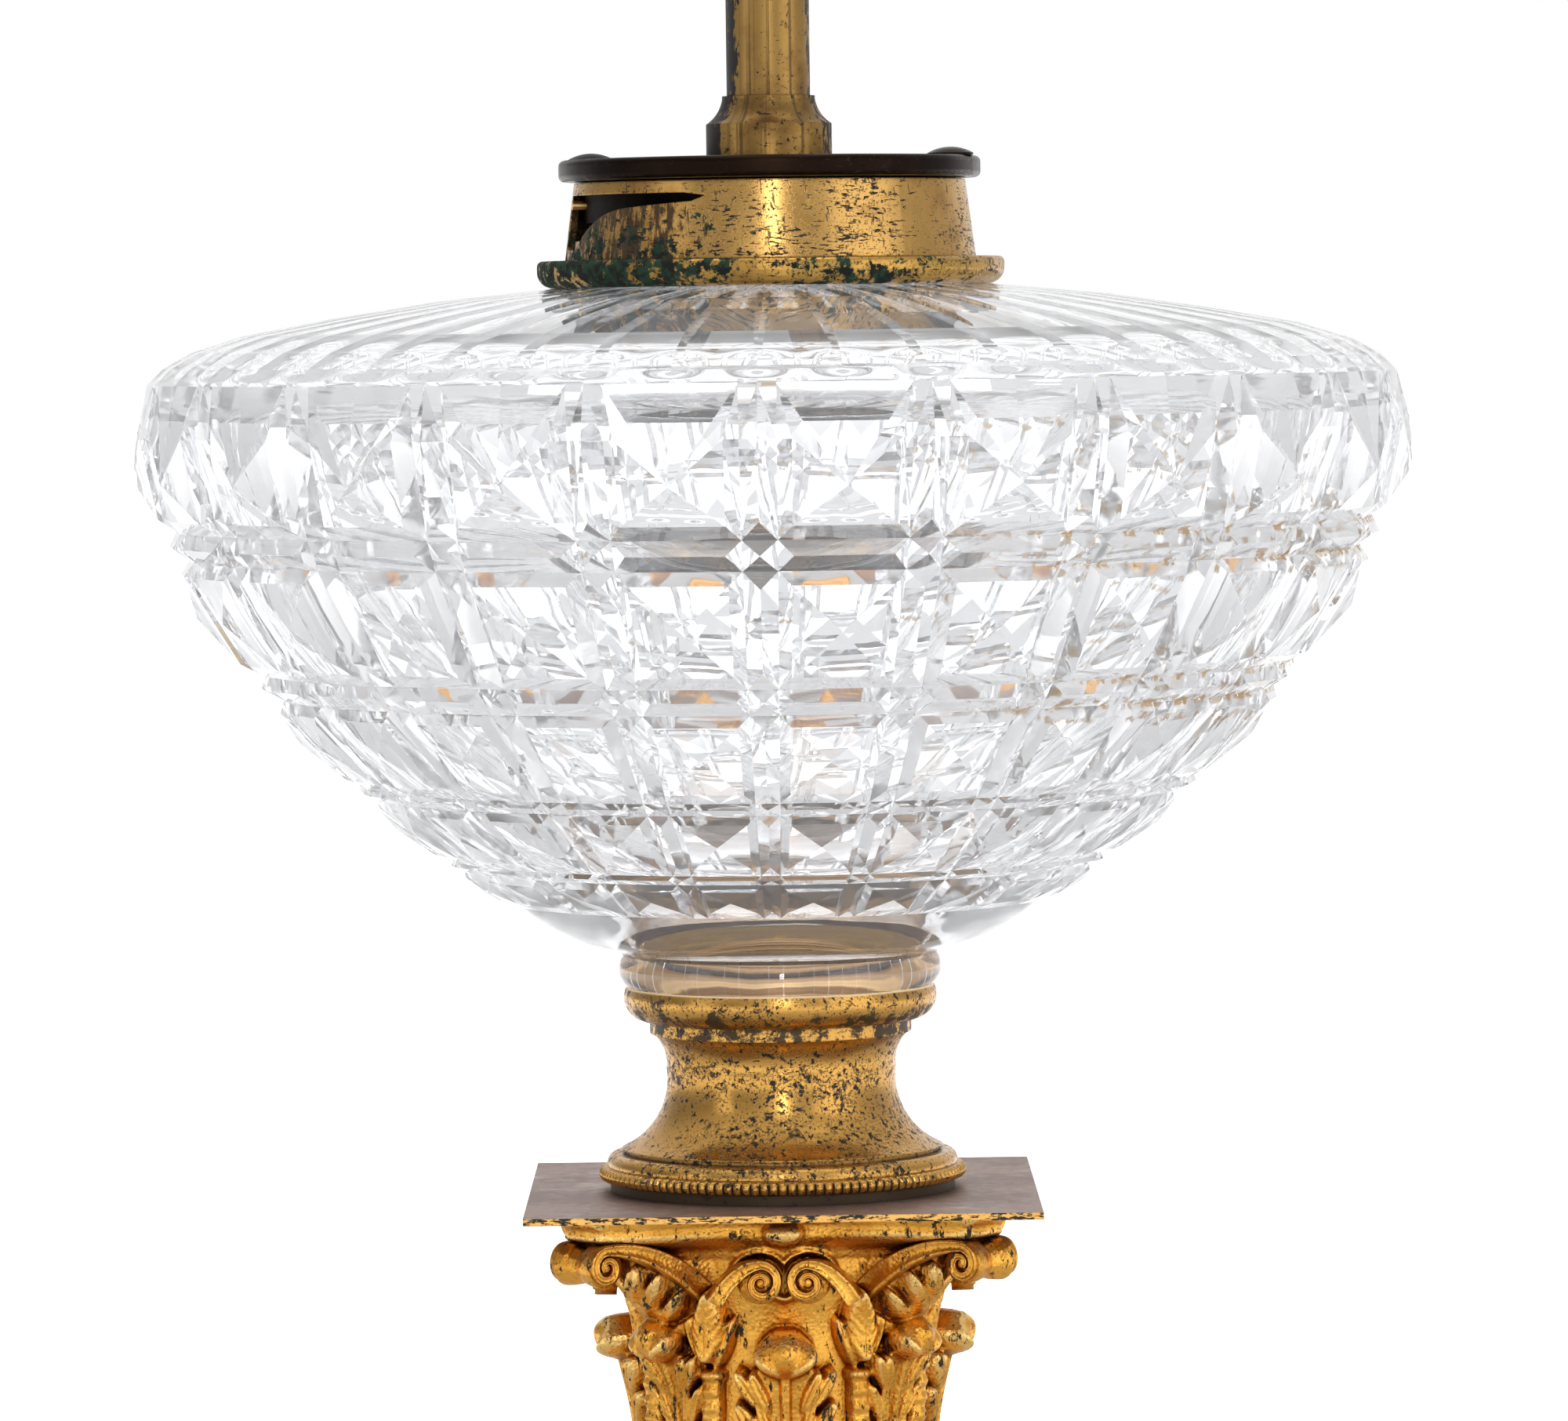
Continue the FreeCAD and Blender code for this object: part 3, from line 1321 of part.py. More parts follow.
def make_font_glass():
    """Cut crystal font: blocks between double grooves, grooves that run out on the shoulder, a flat-cut dome."""
    glass = CutGlass()
    foot, head = glass.cut()
    band_top = value("cut_foot_radius - band_step")
    top = glass.belly + glass.dome_rise
    faces = [
        *glass.faces,
        level_face(foot, band_top, glass.foot),
        level_face(head, value(GLASS_NECK_RADIUS), top),
        *glass_foot_faces(band_top, glass.foot),
        *glass_inside_faces(glass),
    ]
    shell = Part.makeShell(faces)
    shell.sewShape()
    solid = Part.makeSolid(shell)
    if solid.Volume < 0:
        solid.reverse()
    at_height("font_glass", solid, GLASS_FOOT)


def make_collar_flange():
    """Flange on the shoulder of the glass, its lower edge rounded."""
    body = new_body("collar_flange", FLANGE_FOOT)
    inner = f"({GLASS_NECK_RADIUS} + running_gap)"
    land = f"({COLLAR_FOOT_RADIUS} + dome_landing)"
    edge = f"({COLLAR_FOOT_RADIUS} + flange_overhang)"
    turned(
        body,
        [
            (inner, "0"),
            (land, "0"),
            ("via", f"{land} + 0.76*({edge} - {land})", "0.2*flange_depth"),
            (edge, "0.55*flange_depth"),
            (edge, "0.8*flange_depth"),
            ("via", f"{edge} - 0.06*flange_depth", "0.94*flange_depth"),
            (f"{edge} - 0.2*flange_depth", "flange_depth"),
            (inner, "flange_depth"),
        ],
    )


def make_bayonet_collar():
    """Conical collar with two slots, each wide where the pin runs and pointed at its end."""
    body = new_body("bayonet_collar", COLLAR_FOOT, SLOT_AZIMUTH + FULL_TURN/4)
    lean = "collar_flare/collar_rise"
    lip = f"({COLLAR_FOOT_RADIUS} - collar_wall - collar_lip)"
    turned(
        body,
        [
            (lip, "0"),
            (COLLAR_FOOT_RADIUS, "0"),
            ("collar_top_radius", "collar_rise"),
            (COLLAR_BORE, "collar_rise"),
            (f"{COLLAR_FOOT_RADIUS} - collar_wall - collar_wall*{lean}", "collar_wall"),
            (lip, "collar_wall"),
        ],
    )
    corners = []
    for point in SLOT_SHARES:
        across, up = point[-2:]
        place = (f"{across}*{COLLAR_FOOT_RADIUS}", f"{up}*collar_rise")
        corners.append(("via", *place) if point[0] == "via" else place)
    slot = outline(body, "slot", corners)
    patterned(body, [pocketed(body, slot, f"{COLLAR_FOOT_RADIUS} + collar_wall")], 2)


def make_collar_cement():
    """Plaster between the glass neck and the collar."""
    body = new_body("collar_cement", COLLAR_FOOT)
    inside = f"({COLLAR_FOOT_RADIUS} - collar_wall)"
    lean = "collar_flare/collar_rise"
    turned(
        body,
        [
            (GLASS_NECK_RADIUS, "0"),
            (f"{inside} - collar_lip", "0"),
            (f"{inside} - collar_lip", "collar_wall"),
            (f"{inside} - collar_wall*{lean}", "collar_wall"),
            (f"{inside} - collar_cement_rise*{lean}", "collar_cement_rise"),
            (GLASS_NECK_RADIUS, "collar_cement_rise"),
        ],
    )


def make_lock_ring():
    """Bronze ring that turns on the collar, its edges rounded, with holes for its two screws."""
    body = new_body("lock_ring", RING_FOOT, SCREW_AZIMUTH)
    corner = f"{ROUND_SHARE}*ring_edge"
    turned(
        body,
        [
            (RING_BORE, "0"),
            (f"{RING_RADIUS} - ring_edge", "0"),
            ("via", f"{RING_RADIUS} - {corner}", corner),
            (RING_RADIUS, "ring_edge"),
            (RING_RADIUS, f"{RING_DEPTH} - ring_edge"),
            ("via", f"{RING_RADIUS} - {corner}", f"{RING_DEPTH} - {corner}"),
            (f"{RING_RADIUS} - ring_edge", RING_DEPTH),
            (RING_BORE, RING_DEPTH),
        ],
    )
    lift = f"({RING_DEPTH} - screw_length)"
    hole = round_outline(body, "screw_hole", "screw_radius", "XY_Plane", HEAD_CIRCLE, "0", lift)
    patterned(body, [pocketed(body, hole, "screw_length")], 2)


def make_ring_sleeve():
    """Sleeve under the ring, inside the collar, bored for the bayonet pins."""
    body = new_body("ring_sleeve", RING_FOOT, PIN_AZIMUTH)
    turned(
        body,
        [
            (SLEEVE_BORE, "-sleeve_rise"),
            (SLEEVE_RADIUS, "-sleeve_rise"),
            (SLEEVE_RADIUS, "0"),
            (SLEEVE_BORE, "0"),
        ],
    )
    hole = round_outline(body, "pin_hole", "pin_radius", "YZ_Plane", "0", "-pin_drop")
    patterned(body, [pocketed(body, hole, f"{SLEEVE_RADIUS} + sleeve_wall")], 2)


def radial_rod(name, radius, start, length, azimuth, height):
    """A rod that lies level and points away from the axis."""
    rod = document.addObject("Part::Cylinder", name)
    rod.setExpression("Radius", linked(radius))
    rod.setExpression("Height", linked(length))
    level = FreeCAD.Rotation(Y_AXIS, FULL_TURN/4)
    rod.Placement = FreeCAD.Placement(CENTRE, FreeCAD.Rotation(Z_AXIS, azimuth).multiply(level))
    rod.setExpression("Placement.Base.x", linked(f"({start})*cos({azimuth})"))
    rod.setExpression("Placement.Base.y", linked(f"({start})*sin({azimuth})"))
    rod.setExpression("Placement.Base.z", linked(height))
    return rod


def grouped(label, pieces):
    """Alike pieces under one node."""
    group = document.addObject("Part::Compound", label)
    group.Links = pieces
    document.recompute()
    return node(group, label)


def make_ring_pins():
    """Two bayonet pins through the sleeve into the collar's slots."""
    reach = f"(collar_top_radius + collar_flare*pin_drop/collar_rise + pin_proud - {SLEEVE_BORE})"
    height = f"{RING_FOOT} - pin_drop"
    pins = [
        radial_rod(f"pin_{index}", "pin_radius", SLEEVE_BORE, reach, PIN_AZIMUTH + index*FULL_TURN/2, height)
        for index in range(2)
    ]
    grouped("ring_pins", pins)


def placed_body(name, across, along, height):
    """A body that a group takes up, at its place."""
    body = document.addObject("PartDesign::Body", name)
    body.setExpression("Placement.Base.x", linked(across))
    body.setExpression("Placement.Base.y", linked(along))
    body.setExpression("Placement.Base.z", linked(height))
    return body


def round_head(radius, rise, foot):
    """The two points of a round head's outline over its edge: half way out and on the axis."""
    ball = f"((({radius})^2 + ({rise})^2)/2/({rise}))"
    middle = f"{foot} + {rise} - {ball} + sqrt({ball}^2 - ({radius})^2/4)"
    return [("via", f"({radius})/2", middle), ("0", f"{foot} + {rise}")]


def make_ring_screws():
    """Two round-head screws whose heads hold the cover plate down when the ring is turned."""
    screws = []
    for index in range(2):
        azimuth = SCREW_AZIMUTH + index*FULL_TURN/2
        body = placed_body(
            f"ring_screw_{index}",
            f"{HEAD_CIRCLE}*cos({azimuth})",
            f"{HEAD_CIRCLE}*sin({azimuth})",
            f"{RING_FOOT} + {RING_DEPTH}",
        )
        screws.append(
            turned(
                body,
                [
                    ("0", "-screw_length"),
                    ("screw_radius", "-screw_length"),
                    ("screw_radius", "0"),
                    ("head_radius", "0"),
                    ("head_radius", "0.25*head_rise"),
                    *round_head("head_radius", "0.75*head_rise", "0.25*head_rise"),
                ],
            )
        )
    grouped("ring_screws", screws)


def make_cover_plate():
    """Disc over the font's mouth, notched so that the ring's screw heads pass it."""
    body = new_body("cover_plate", COVER_FOOT, SCREW_AZIMUTH)
    turned(
        body,
        [
            ("nipple_radius", "0"),
            (COVER_RADIUS, "0"),
            (COVER_RADIUS, "cover_depth"),
            ("nipple_radius", "cover_depth"),
        ],
    )
    notch = round_outline(body, "notch", "head_radius + running_gap", "XY_Plane", HEAD_CIRCLE)
    patterned(body, [pocketed(body, notch, "cover_depth")], 2)


def ring_body(label, foot, bore, radius, depth):
    """A plain turned ring or sleeve."""
    body = new_body(label, foot)
    return turned(body, [(bore, "0"), (radius, "0"), (radius, depth), (bore, depth)])


def make_plate_gasket():
    """Gasket under the cover plate, over the lip of the glass."""
    ring_body("plate_gasket", GASKET_FOOT, MOUTH_RADIUS, GLASS_NECK_RADIUS, "gasket_depth")


def make_stem_nipple():
    """Threaded nipple that holds the stem socket on the cover plate."""
    length = "(nipple_tail + cover_depth + nipple_reach)"
    ring_body("stem_nipple", f"{COVER_FOOT} - nipple_tail", "nipple_radius - nipple_wall", "nipple_radius", length)


def make_stem_washer():
    """Washer under the cover plate."""
    foot = f"{COVER_FOOT} - stem_washer_depth"
    ring_body("stem_washer", foot, "nipple_radius", "stem_washer_radius", "stem_washer_depth")


def make_stem_locknut():
    """Nut under the washer."""
    body = new_body("stem_locknut", f"{COVER_FOOT} - stem_washer_depth - locknut_depth")
    padded(body, hexagon(body, "nut", "locknut_across"), "locknut_depth")
    pocketed(body, round_outline(body, "thread", "nipple_radius", "XY_Plane"), "locknut_depth")


def make_stem_socket():
    """Brass socket: a drum with a hollow flare up to the tube."""
    body = new_body("stem_socket", COVER_TOP)
    lip = "(tube_radius + socket_lip)"
    top = "(socket_drum_rise + socket_flare_rise)"
    turned(
        body,
        [
            ("nipple_radius", "0"),
            ("socket_radius", "0"),
            ("socket_radius", "0.94*socket_drum_rise"),
            ("socket_radius - 0.08*socket_drum_rise", "socket_drum_rise"),
            ("via", f"{lip} + 0.22*(socket_radius - {lip})", "socket_drum_rise + 0.45*socket_flare_rise"),
            (lip, f"{top} - 0.12*socket_flare_rise"),
            (lip, top),
            ("tube_radius", top),
            ("tube_radius", "nipple_reach"),
            ("nipple_radius", "nipple_reach"),
        ],
    )


def make_stem_tube():
    """Seamed brass tube."""
    body = ring_body("stem_tube", TUBE_FOOT, "tube_radius - tube_wall", "tube_radius", "tube_length")
    half = "seam_width/2"
    seam = outline(
        body,
        "seam",
        [(f"-{half}", "0"), (half, "0"), (half, "tube_length"), (f"-{half}", "tube_length")],
        "XZ_Plane",
        "tube_radius - seam_depth",
    )
    pocketed(body, seam, "2*seam_depth")


def make_holder_cap():
    """Spun cap of the lampholder, bored at its back for the cord bush and the setscrew."""
    body = new_body("holder_cap", HOLDER_FOOT, FULL_TURN/4)
    spread = f"({CAP_RADIUS} - cap_neck_radius)"
    turned(
        body,
        [
            ("tube_radius", "0"),
            ("cap_neck_radius", "0"),
            ("cap_neck_radius", "cap_neck_rise"),
            ("via", f"{CAP_RADIUS} - {ROUND_SHARE}*{spread}", f"cap_neck_rise + {ROUND_SHARE}*{spread}"),
            (CAP_RADIUS, CAP_BELL_TOP),
            (CAP_RADIUS, CAP_RIM),
            (f"{CAP_RADIUS} - sheet_wall", CAP_RIM),
            (f"{CAP_RADIUS} - sheet_wall", CAP_BELL_TOP),
            (
                "via",
                f"{CAP_RADIUS} - {ROUND_SHARE}*{spread} - {1 - ROUND_SHARE}*sheet_wall",
                f"cap_neck_rise + {ROUND_SHARE}*{spread} + {1 - ROUND_SHARE}*sheet_wall",
            ),
            ("cap_neck_radius", "cap_neck_rise + sheet_wall"),
            ("tube_radius", "cap_neck_rise + sheet_wall"),
        ],
    )
    inlet = round_outline(body, "cord_inlet", "bush_radius", "YZ_Plane", "0", f"{CAP_RIM} - bush_drop")
    pocketed(body, inlet, f"{CAP_RADIUS} + sheet_wall")
    thread = round_outline(body, "setscrew_hole", "setscrew_radius", "YZ_Plane", "0", "cap_neck_rise/2")
    pocketed(body, thread, "cap_neck_radius + sheet_wall")


def make_cord_bush():
    """Insulating bush in the cord inlet, its axis level and pointing back."""
    body = document.addObject("PartDesign::Body", "cord_bush")
    node(body, "cord_bush")
    body.Placement = FreeCAD.Placement(CENTRE, FreeCAD.Rotation(X_AXIS, -FULL_TURN/4))
    body.setExpression("Placement.Base.y", linked(CAP_RADIUS))
    body.setExpression("Placement.Base.z", linked(f"{HOLDER_FOOT} + {CAP_RIM} - bush_drop"))
    bore = "(bush_radius - bush_wall)"
    turned(
        body,
        [
            (bore, "-2*sheet_wall"),
            ("bush_radius", "-2*sheet_wall"),
            ("bush_radius", "0"),
            ("bush_radius + bush_flange", "0"),
            ("bush_radius + bush_flange", "0.4*bush_flange"),
            ("via", "bush_radius + 0.7*bush_flange", "0.9*bush_flange"),
            ("bush_radius", "bush_flange"),
            (bore, "bush_flange"),
        ],
    )


def make_holder_setscrew():
    """Screw that holds the cap on the tube."""
    height = f"{HOLDER_FOOT} + cap_neck_rise/2"
    length = "cap_neck_radius - tube_radius + setscrew_proud"
    rod = radial_rod("holder_setscrew", "setscrew_radius", "tube_radius", length, FULL_TURN/4, height)
    node(rod, "holder_setscrew")


def spindle_hole(body, height):
    """Bores a wall on the +X side for the switch spindle."""
    hole = round_outline(body, "spindle_hole", "spindle_radius + running_gap", "YZ_Plane", "0", height)
    pocketed(body, hole, "shell_radius + sheet_wall")


def make_holder_shell():
    """Brass shell with a rolled lip."""
    body = new_body("holder_shell", SHELL_FOOT)
    turned(
        body,
        [
            (LINER_RADIUS, "0"),
            ("shell_radius", "0"),
            ("shell_radius", "shell_rise - 2*shell_lip"),
            ("via", "shell_radius + shell_lip", "shell_rise - shell_lip"),
            ("shell_radius", "shell_rise"),
            (LINER_RADIUS, "shell_rise"),
        ],
    )
    spindle_hole(body, "core_lift + spindle_height")


def make_holder_liner():
    """Insulating liner inside the shell."""
    body = ring_body("holder_liner", SHELL_FOOT, CORE_RADIUS, LINER_RADIUS, "(shell_rise - liner_drop)")
    spindle_hole(body, "core_lift + spindle_height")


def make_holder_core():
    """Insulating core that holds the switch, the terminals and the screw shell."""
    body = ring_body("holder_core", CORE_FOOT, "core_bore", CORE_RADIUS, "core_rise")
    spindle_hole(body, "spindle_height")
    hole = round_outline(body, "terminal_hole", "terminal_radius", "XY_Plane", "0", "terminal_offset")
    patterned(body, [pocketed(body, hole, "terminal_length")], 2)


def make_screw_shell():
    """Brass screw shell that takes the bulb's cap, narrower at its foot round the contact."""
    body = new_body("screw_shell", f"{CORE_FOOT} + core_rise")
    outside = "(bulb_thread_radius + thread_wall)"
    hole = "(sqrt(contact_length^2 + contact_width^2)/2 + thread_wall)"
    turned(
        body,
        [
            (hole, "0"),
            ("thread_seat_radius + thread_wall", "0"),
            ("thread_seat_radius + thread_wall", "thread_seat_rise"),
            (outside, "thread_seat_rise"),
            (outside, "thread_rise"),
            ("bulb_thread_radius", "thread_rise"),
            ("bulb_thread_radius", "thread_seat_rise + thread_wall"),
            ("thread_seat_radius", "thread_seat_rise + thread_wall"),
            ("thread_seat_radius", "thread_wall"),
            (hole, "thread_wall"),
        ],
    )


def make_centre_contact():
    """Springy brass tongue on the core that meets the bulb's tip."""
    body = new_body("centre_contact", f"{CORE_FOOT} + core_rise")
    half = "contact_length/2"
    strip = outline(
        body,
        "tongue",
        [
            (f"-{half}", "0"),
            (half, "0"),
            (half, "contact_depth"),
            (f"0.25*contact_depth - {half}*0.6", "contact_depth"),
            ("0.5*contact_width", "contact_spring"),
            ("0.5*contact_width", "contact_spring + contact_depth"),
            (f"-{half}", "1.6*contact_depth"),
        ],
        "XZ_Plane",
        "-contact_width/2",
    )
    padded(body, strip, "contact_width")


def make_terminal_screws():
    """Two terminal screws in the foot of the core."""
    screws = []
    for index, side in enumerate(("", "-")):
        body = placed_body(f"terminal_screw_{index}", "0", f"{side}terminal_offset", CORE_FOOT)
        screws.append(
            turned(
                body,
                [
                    ("0", "-terminal_head_rise"),
                    ("terminal_head_radius", "-terminal_head_rise"),
                    ("terminal_head_radius", "0"),
                    ("terminal_radius", "0"),
                    ("terminal_radius", "terminal_length"),
                    ("0", "terminal_length"),
                ],
            )
        )
    grouped("terminal_screws", screws)


def make_switch_spindle():
    """Spindle of the rotary switch, from the core out to the key."""
    start = f"({CORE_RADIUS} - spindle_depth)"
    length = f"shell_radius + key_stand_off - {start}"
    rod = radial_rod("switch_spindle", "spindle_radius", start, length, 0.0, SPINDLE_HEIGHT)
    node(rod, "switch_spindle")


def make_switch_key():
    """Flat thumb key on the spindle."""
    body = new_body("switch_key", SPINDLE_HEIGHT)
    start = "(shell_radius + key_stand_off)"
    key = outline(
        body,
        "key",
        [
            (start, "-key_width/5"),
            (f"{start} + 0.35*key_length", "-key_width/2"),
            ("via", f"{start} + key_length", "0"),
            (f"{start} + 0.35*key_length", "key_width/2"),
            (start, "key_width/5"),
        ],
        "XZ_Plane",
        "-key_depth/2",
    )
    padded(body, key, "key_depth")


def check_document():
    """Stops if any object failed or any sub-part has no sound shape."""
    failed = [item.Label for item in document.Objects if {"Invalid", "Error"} & set(item.State)]
    failed += [item.Label for item in NODES if item.Shape.isNull() or not item.Shape.isValid()]
    if failed:
        raise RuntimeError(f"failed: {', '.join(sorted(set(failed)))}")


def main():
    """Fills the sheet, makes each sub-part and writes it."""
    fill_sheet()
    for make in MAKERS:
        make()
    document.recompute()
    check_document()
    os.makedirs("parts", exist_ok=True)
    for item in NODES:
        item.Shape.exportStep(f"parts/{item.Label}.step")


MAKERS = (
    make_felt,
    make_stepped_base,
    make_base_weight,
    make_tie_rod,
    make_rod_washer,
    make_rod_nut,
    make_column_base,
    make_column_shaft,
    make_capital,
    make_abacus_plate,
    make_gadroon_rim,
    make_neck_pedestal,
    make_font_cup,
    make_foot_cement,
    make_font_glass,
    make_collar_flange,
    make_bayonet_collar,
    make_collar_cement,
    make_lock_ring,
    make_ring_sleeve,
    make_ring_pins,
    make_ring_screws,
    make_cover_plate,
    make_plate_gasket,
    make_stem_nipple,
    make_stem_washer,
    make_stem_locknut,
    make_stem_socket,
    make_stem_tube,
    make_holder_cap,
    make_cord_bush,
    make_holder_setscrew,
    make_holder_shell,
    make_holder_liner,
    make_holder_core,
    make_screw_shell,
    make_centre_contact,
    make_terminal_screws,
    make_switch_spindle,
    make_switch_key,
)

main()
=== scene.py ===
"""Looks of a fluid lamp: gilt column, cut crystal font and brass fittings, in a plain studio."""
import json
import math

import bmesh
import bpy
from mathutils import Matrix, Vector
import numpy as np


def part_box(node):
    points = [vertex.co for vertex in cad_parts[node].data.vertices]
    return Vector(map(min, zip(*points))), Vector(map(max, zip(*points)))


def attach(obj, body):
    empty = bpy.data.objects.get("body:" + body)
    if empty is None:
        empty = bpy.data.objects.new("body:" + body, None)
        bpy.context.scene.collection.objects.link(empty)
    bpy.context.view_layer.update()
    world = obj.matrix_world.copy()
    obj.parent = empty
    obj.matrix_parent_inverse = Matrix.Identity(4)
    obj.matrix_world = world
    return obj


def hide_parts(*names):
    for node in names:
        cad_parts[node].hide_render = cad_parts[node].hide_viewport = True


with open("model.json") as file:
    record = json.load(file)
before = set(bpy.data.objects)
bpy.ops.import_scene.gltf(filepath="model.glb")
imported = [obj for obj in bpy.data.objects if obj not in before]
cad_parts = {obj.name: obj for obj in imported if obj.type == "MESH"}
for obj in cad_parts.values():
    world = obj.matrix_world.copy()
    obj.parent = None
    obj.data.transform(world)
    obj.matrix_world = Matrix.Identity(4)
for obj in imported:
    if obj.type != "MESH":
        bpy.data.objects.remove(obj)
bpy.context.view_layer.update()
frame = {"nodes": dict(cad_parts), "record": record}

# ---------------------------------------------------------------- camera

CAMERA_PLACE = (0, -1.225, 0.5006)
CAMERA_PITCH = math.radians(2.896)
CAMERA_ROLL = math.radians(-0.76)
CAMERA_TURN = -9.5e-4
camera_data = bpy.data.cameras.new("camera")
camera_data.lens = 180
camera_data.sensor_width = 36
camera_data.clip_start = 0.05
camera_data.clip_end = 200
camera = bpy.data.objects.new("camera", camera_data)
bpy.context.scene.collection.objects.link(camera)
camera.matrix_world = (
    Matrix.Translation(CAMERA_PLACE)
    @ Matrix.Rotation(CAMERA_TURN, 4, "Z")
    @ Matrix.Rotation(math.pi/2 - CAMERA_PITCH, 4, "X")
    @ Matrix.Rotation(CAMERA_ROLL, 4, "Z")
)
bpy.context.scene.camera = camera
bpy.context.scene.view_settings.view_transform = "Standard"


# ---------------------------------------------------------------- node graphs


class Graph:
    """Short calls for the nodes of one material or world."""

    def __init__(self, owner):
        owner.use_nodes = True
        self.tree = owner.node_tree
        self.tree.nodes.clear()
        self.links = self.tree.links

    def node(self, kind, **settings):
        made = self.tree.nodes.new("ShaderNode" + kind)
        for name, setting in settings.items():
            setattr(made, name, setting)
        return made

    def feed(self, socket, source):
        """Joins a socket to another's output, or gives it a constant."""
        if isinstance(source, bpy.types.NodeSocket):
            self.links.new(source, socket)
        elif isinstance(source, (tuple, list)) and len(source) == 3 and socket.type == "RGBA":
            socket.default_value = (*source, 1)
        else:
            socket.default_value = source

    def math(self, operation, *values):
        made = self.node("Math", operation=operation)
        for socket, source in zip(made.inputs, values):
            self.feed(socket, source)
        return made.outputs[0]

    def place(self):
        return self.node("TexCoord").outputs["Object"]

    def split(self, vector):
        made = self.node("SeparateXYZ")
        self.feed(made.inputs[0], vector)
        return made.outputs[0], made.outputs[1], made.outputs[2]

    def join(self, x, y, z):
        made = self.node("CombineXYZ")
        for socket, source in zip(made.inputs, (x, y, z)):
            self.feed(socket, source)
        return made.outputs[0]

    def scaled(self, vector, x, y, z):
        made = self.node("VectorMath", operation="MULTIPLY")
        self.feed(made.inputs[0], vector)
        made.inputs[1].default_value = (x, y, z)
        return made.outputs[0]

    def out(self, x, y):
        """Distance out from the upright axis."""
        return self.math("SQRT", self.math("ADD", self.times(x, x), self.times(y, y)))

    def turn(self, x, y):
        """Angle round the axis in radians, zero at the front, with its seam at the back."""
        return self.math("ARCTAN2", x, self.times(y, -1.0))

    def unrolled(self, radius):
        """Coordinates of a turned surface laid flat: round the axis, out from it, and up."""
        x, y, z = self.split(self.place())
        return self.join(self.times(self.turn(x, y), radius), self.out(x, y), z)

    def noise(self, vector, scale, detail=4.0, roughness=0.55):
        made = self.node("TexNoise")
        self.feed(made.inputs["Vector"], vector)
        made.inputs["Scale"].default_value = scale
        made.inputs["Detail"].default_value = detail
        made.inputs["Roughness"].default_value = roughness
        return made.outputs[0]

    def cells(self, vector, scale):
        made = self.node("TexVoronoi")
        self.feed(made.inputs["Vector"], vector)
        made.inputs["Scale"].default_value = scale
        return made.outputs[0]

    def ramp(self, value, low, high):
        """Zero below low, one above high, or the other way about if low is above high."""
        made = self.node("MapRange", interpolation_type="SMOOTHSTEP")
        self.feed(made.inputs[0], value)
        made.inputs[1].default_value = low
        made.inputs[2].default_value = high
        return made.outputs[0]

    def mix(self, share, first, second):
        made = self.node("Mix", data_type="RGBA")
        self.feed(made.inputs[0], share)
        self.feed(made.inputs[6], first)
        self.feed(made.inputs[7], second)
        return made.outputs[2]

    def times(self, *values):
        result = values[0]
        for other in values[1:]:
            result = self.math("MULTIPLY", result, other)
        return result

    def blend(self, share, first, second):
        """A number between two numbers."""
        return self.math("MULTIPLY_ADD", share, self.math("SUBTRACT", second, first), first)

    def bump(self, height, distance, strength=1.0, normal=None):
        made = self.node("Bump")
        made.inputs["Strength"].default_value = strength
        made.inputs["Distance"].default_value = distance
        self.feed(made.inputs["Height"], height)
        if normal is not None:
            self.feed(made.inputs["Normal"], normal)
        return made.outputs[0]

    def soft_edges(self, radius):
        made = self.node("Bevel", samples=4)
        made.inputs["Radius"].default_value = radius
        return made.outputs[0]

    def edges(self, radius):
        """One along sharp edges and zero away from them."""
        rounded = self.soft_edges(radius)
        compare = self.node("VectorMath", operation="DOT_PRODUCT")
        self.feed(compare.inputs[0], rounded)
        self.feed(compare.inputs[1], self.node("NewGeometry").outputs["Normal"])
        return self.ramp(compare.outputs["Value"], 0.985, 0.86)

    def hollow(self, distance):
        """One in the open and zero in hollows."""
        made = self.node("AmbientOcclusion", samples=6)
        made.inputs["Distance"].default_value = distance
        return made.outputs[1]

    def surface(self, **settings):
        shader = self.node("BsdfPrincipled")
        for name, source in settings.items():
            self.feed(shader.inputs[name.replace("_", " ")], source)
        self.target = self.node("OutputMaterial")
        self.links.new(shader.outputs[0], self.target.inputs[0])
        return shader


def material(name):
    made = bpy.data.materials.new(name)
    return made, Graph(made)


# ---------------------------------------------------------------- metals

BEADS = 124
RIM_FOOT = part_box("gadroon_rim")[0].z
NECK_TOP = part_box("neck_pedestal")[1].z
COLLAR_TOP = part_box("bayonet_collar")[1].z


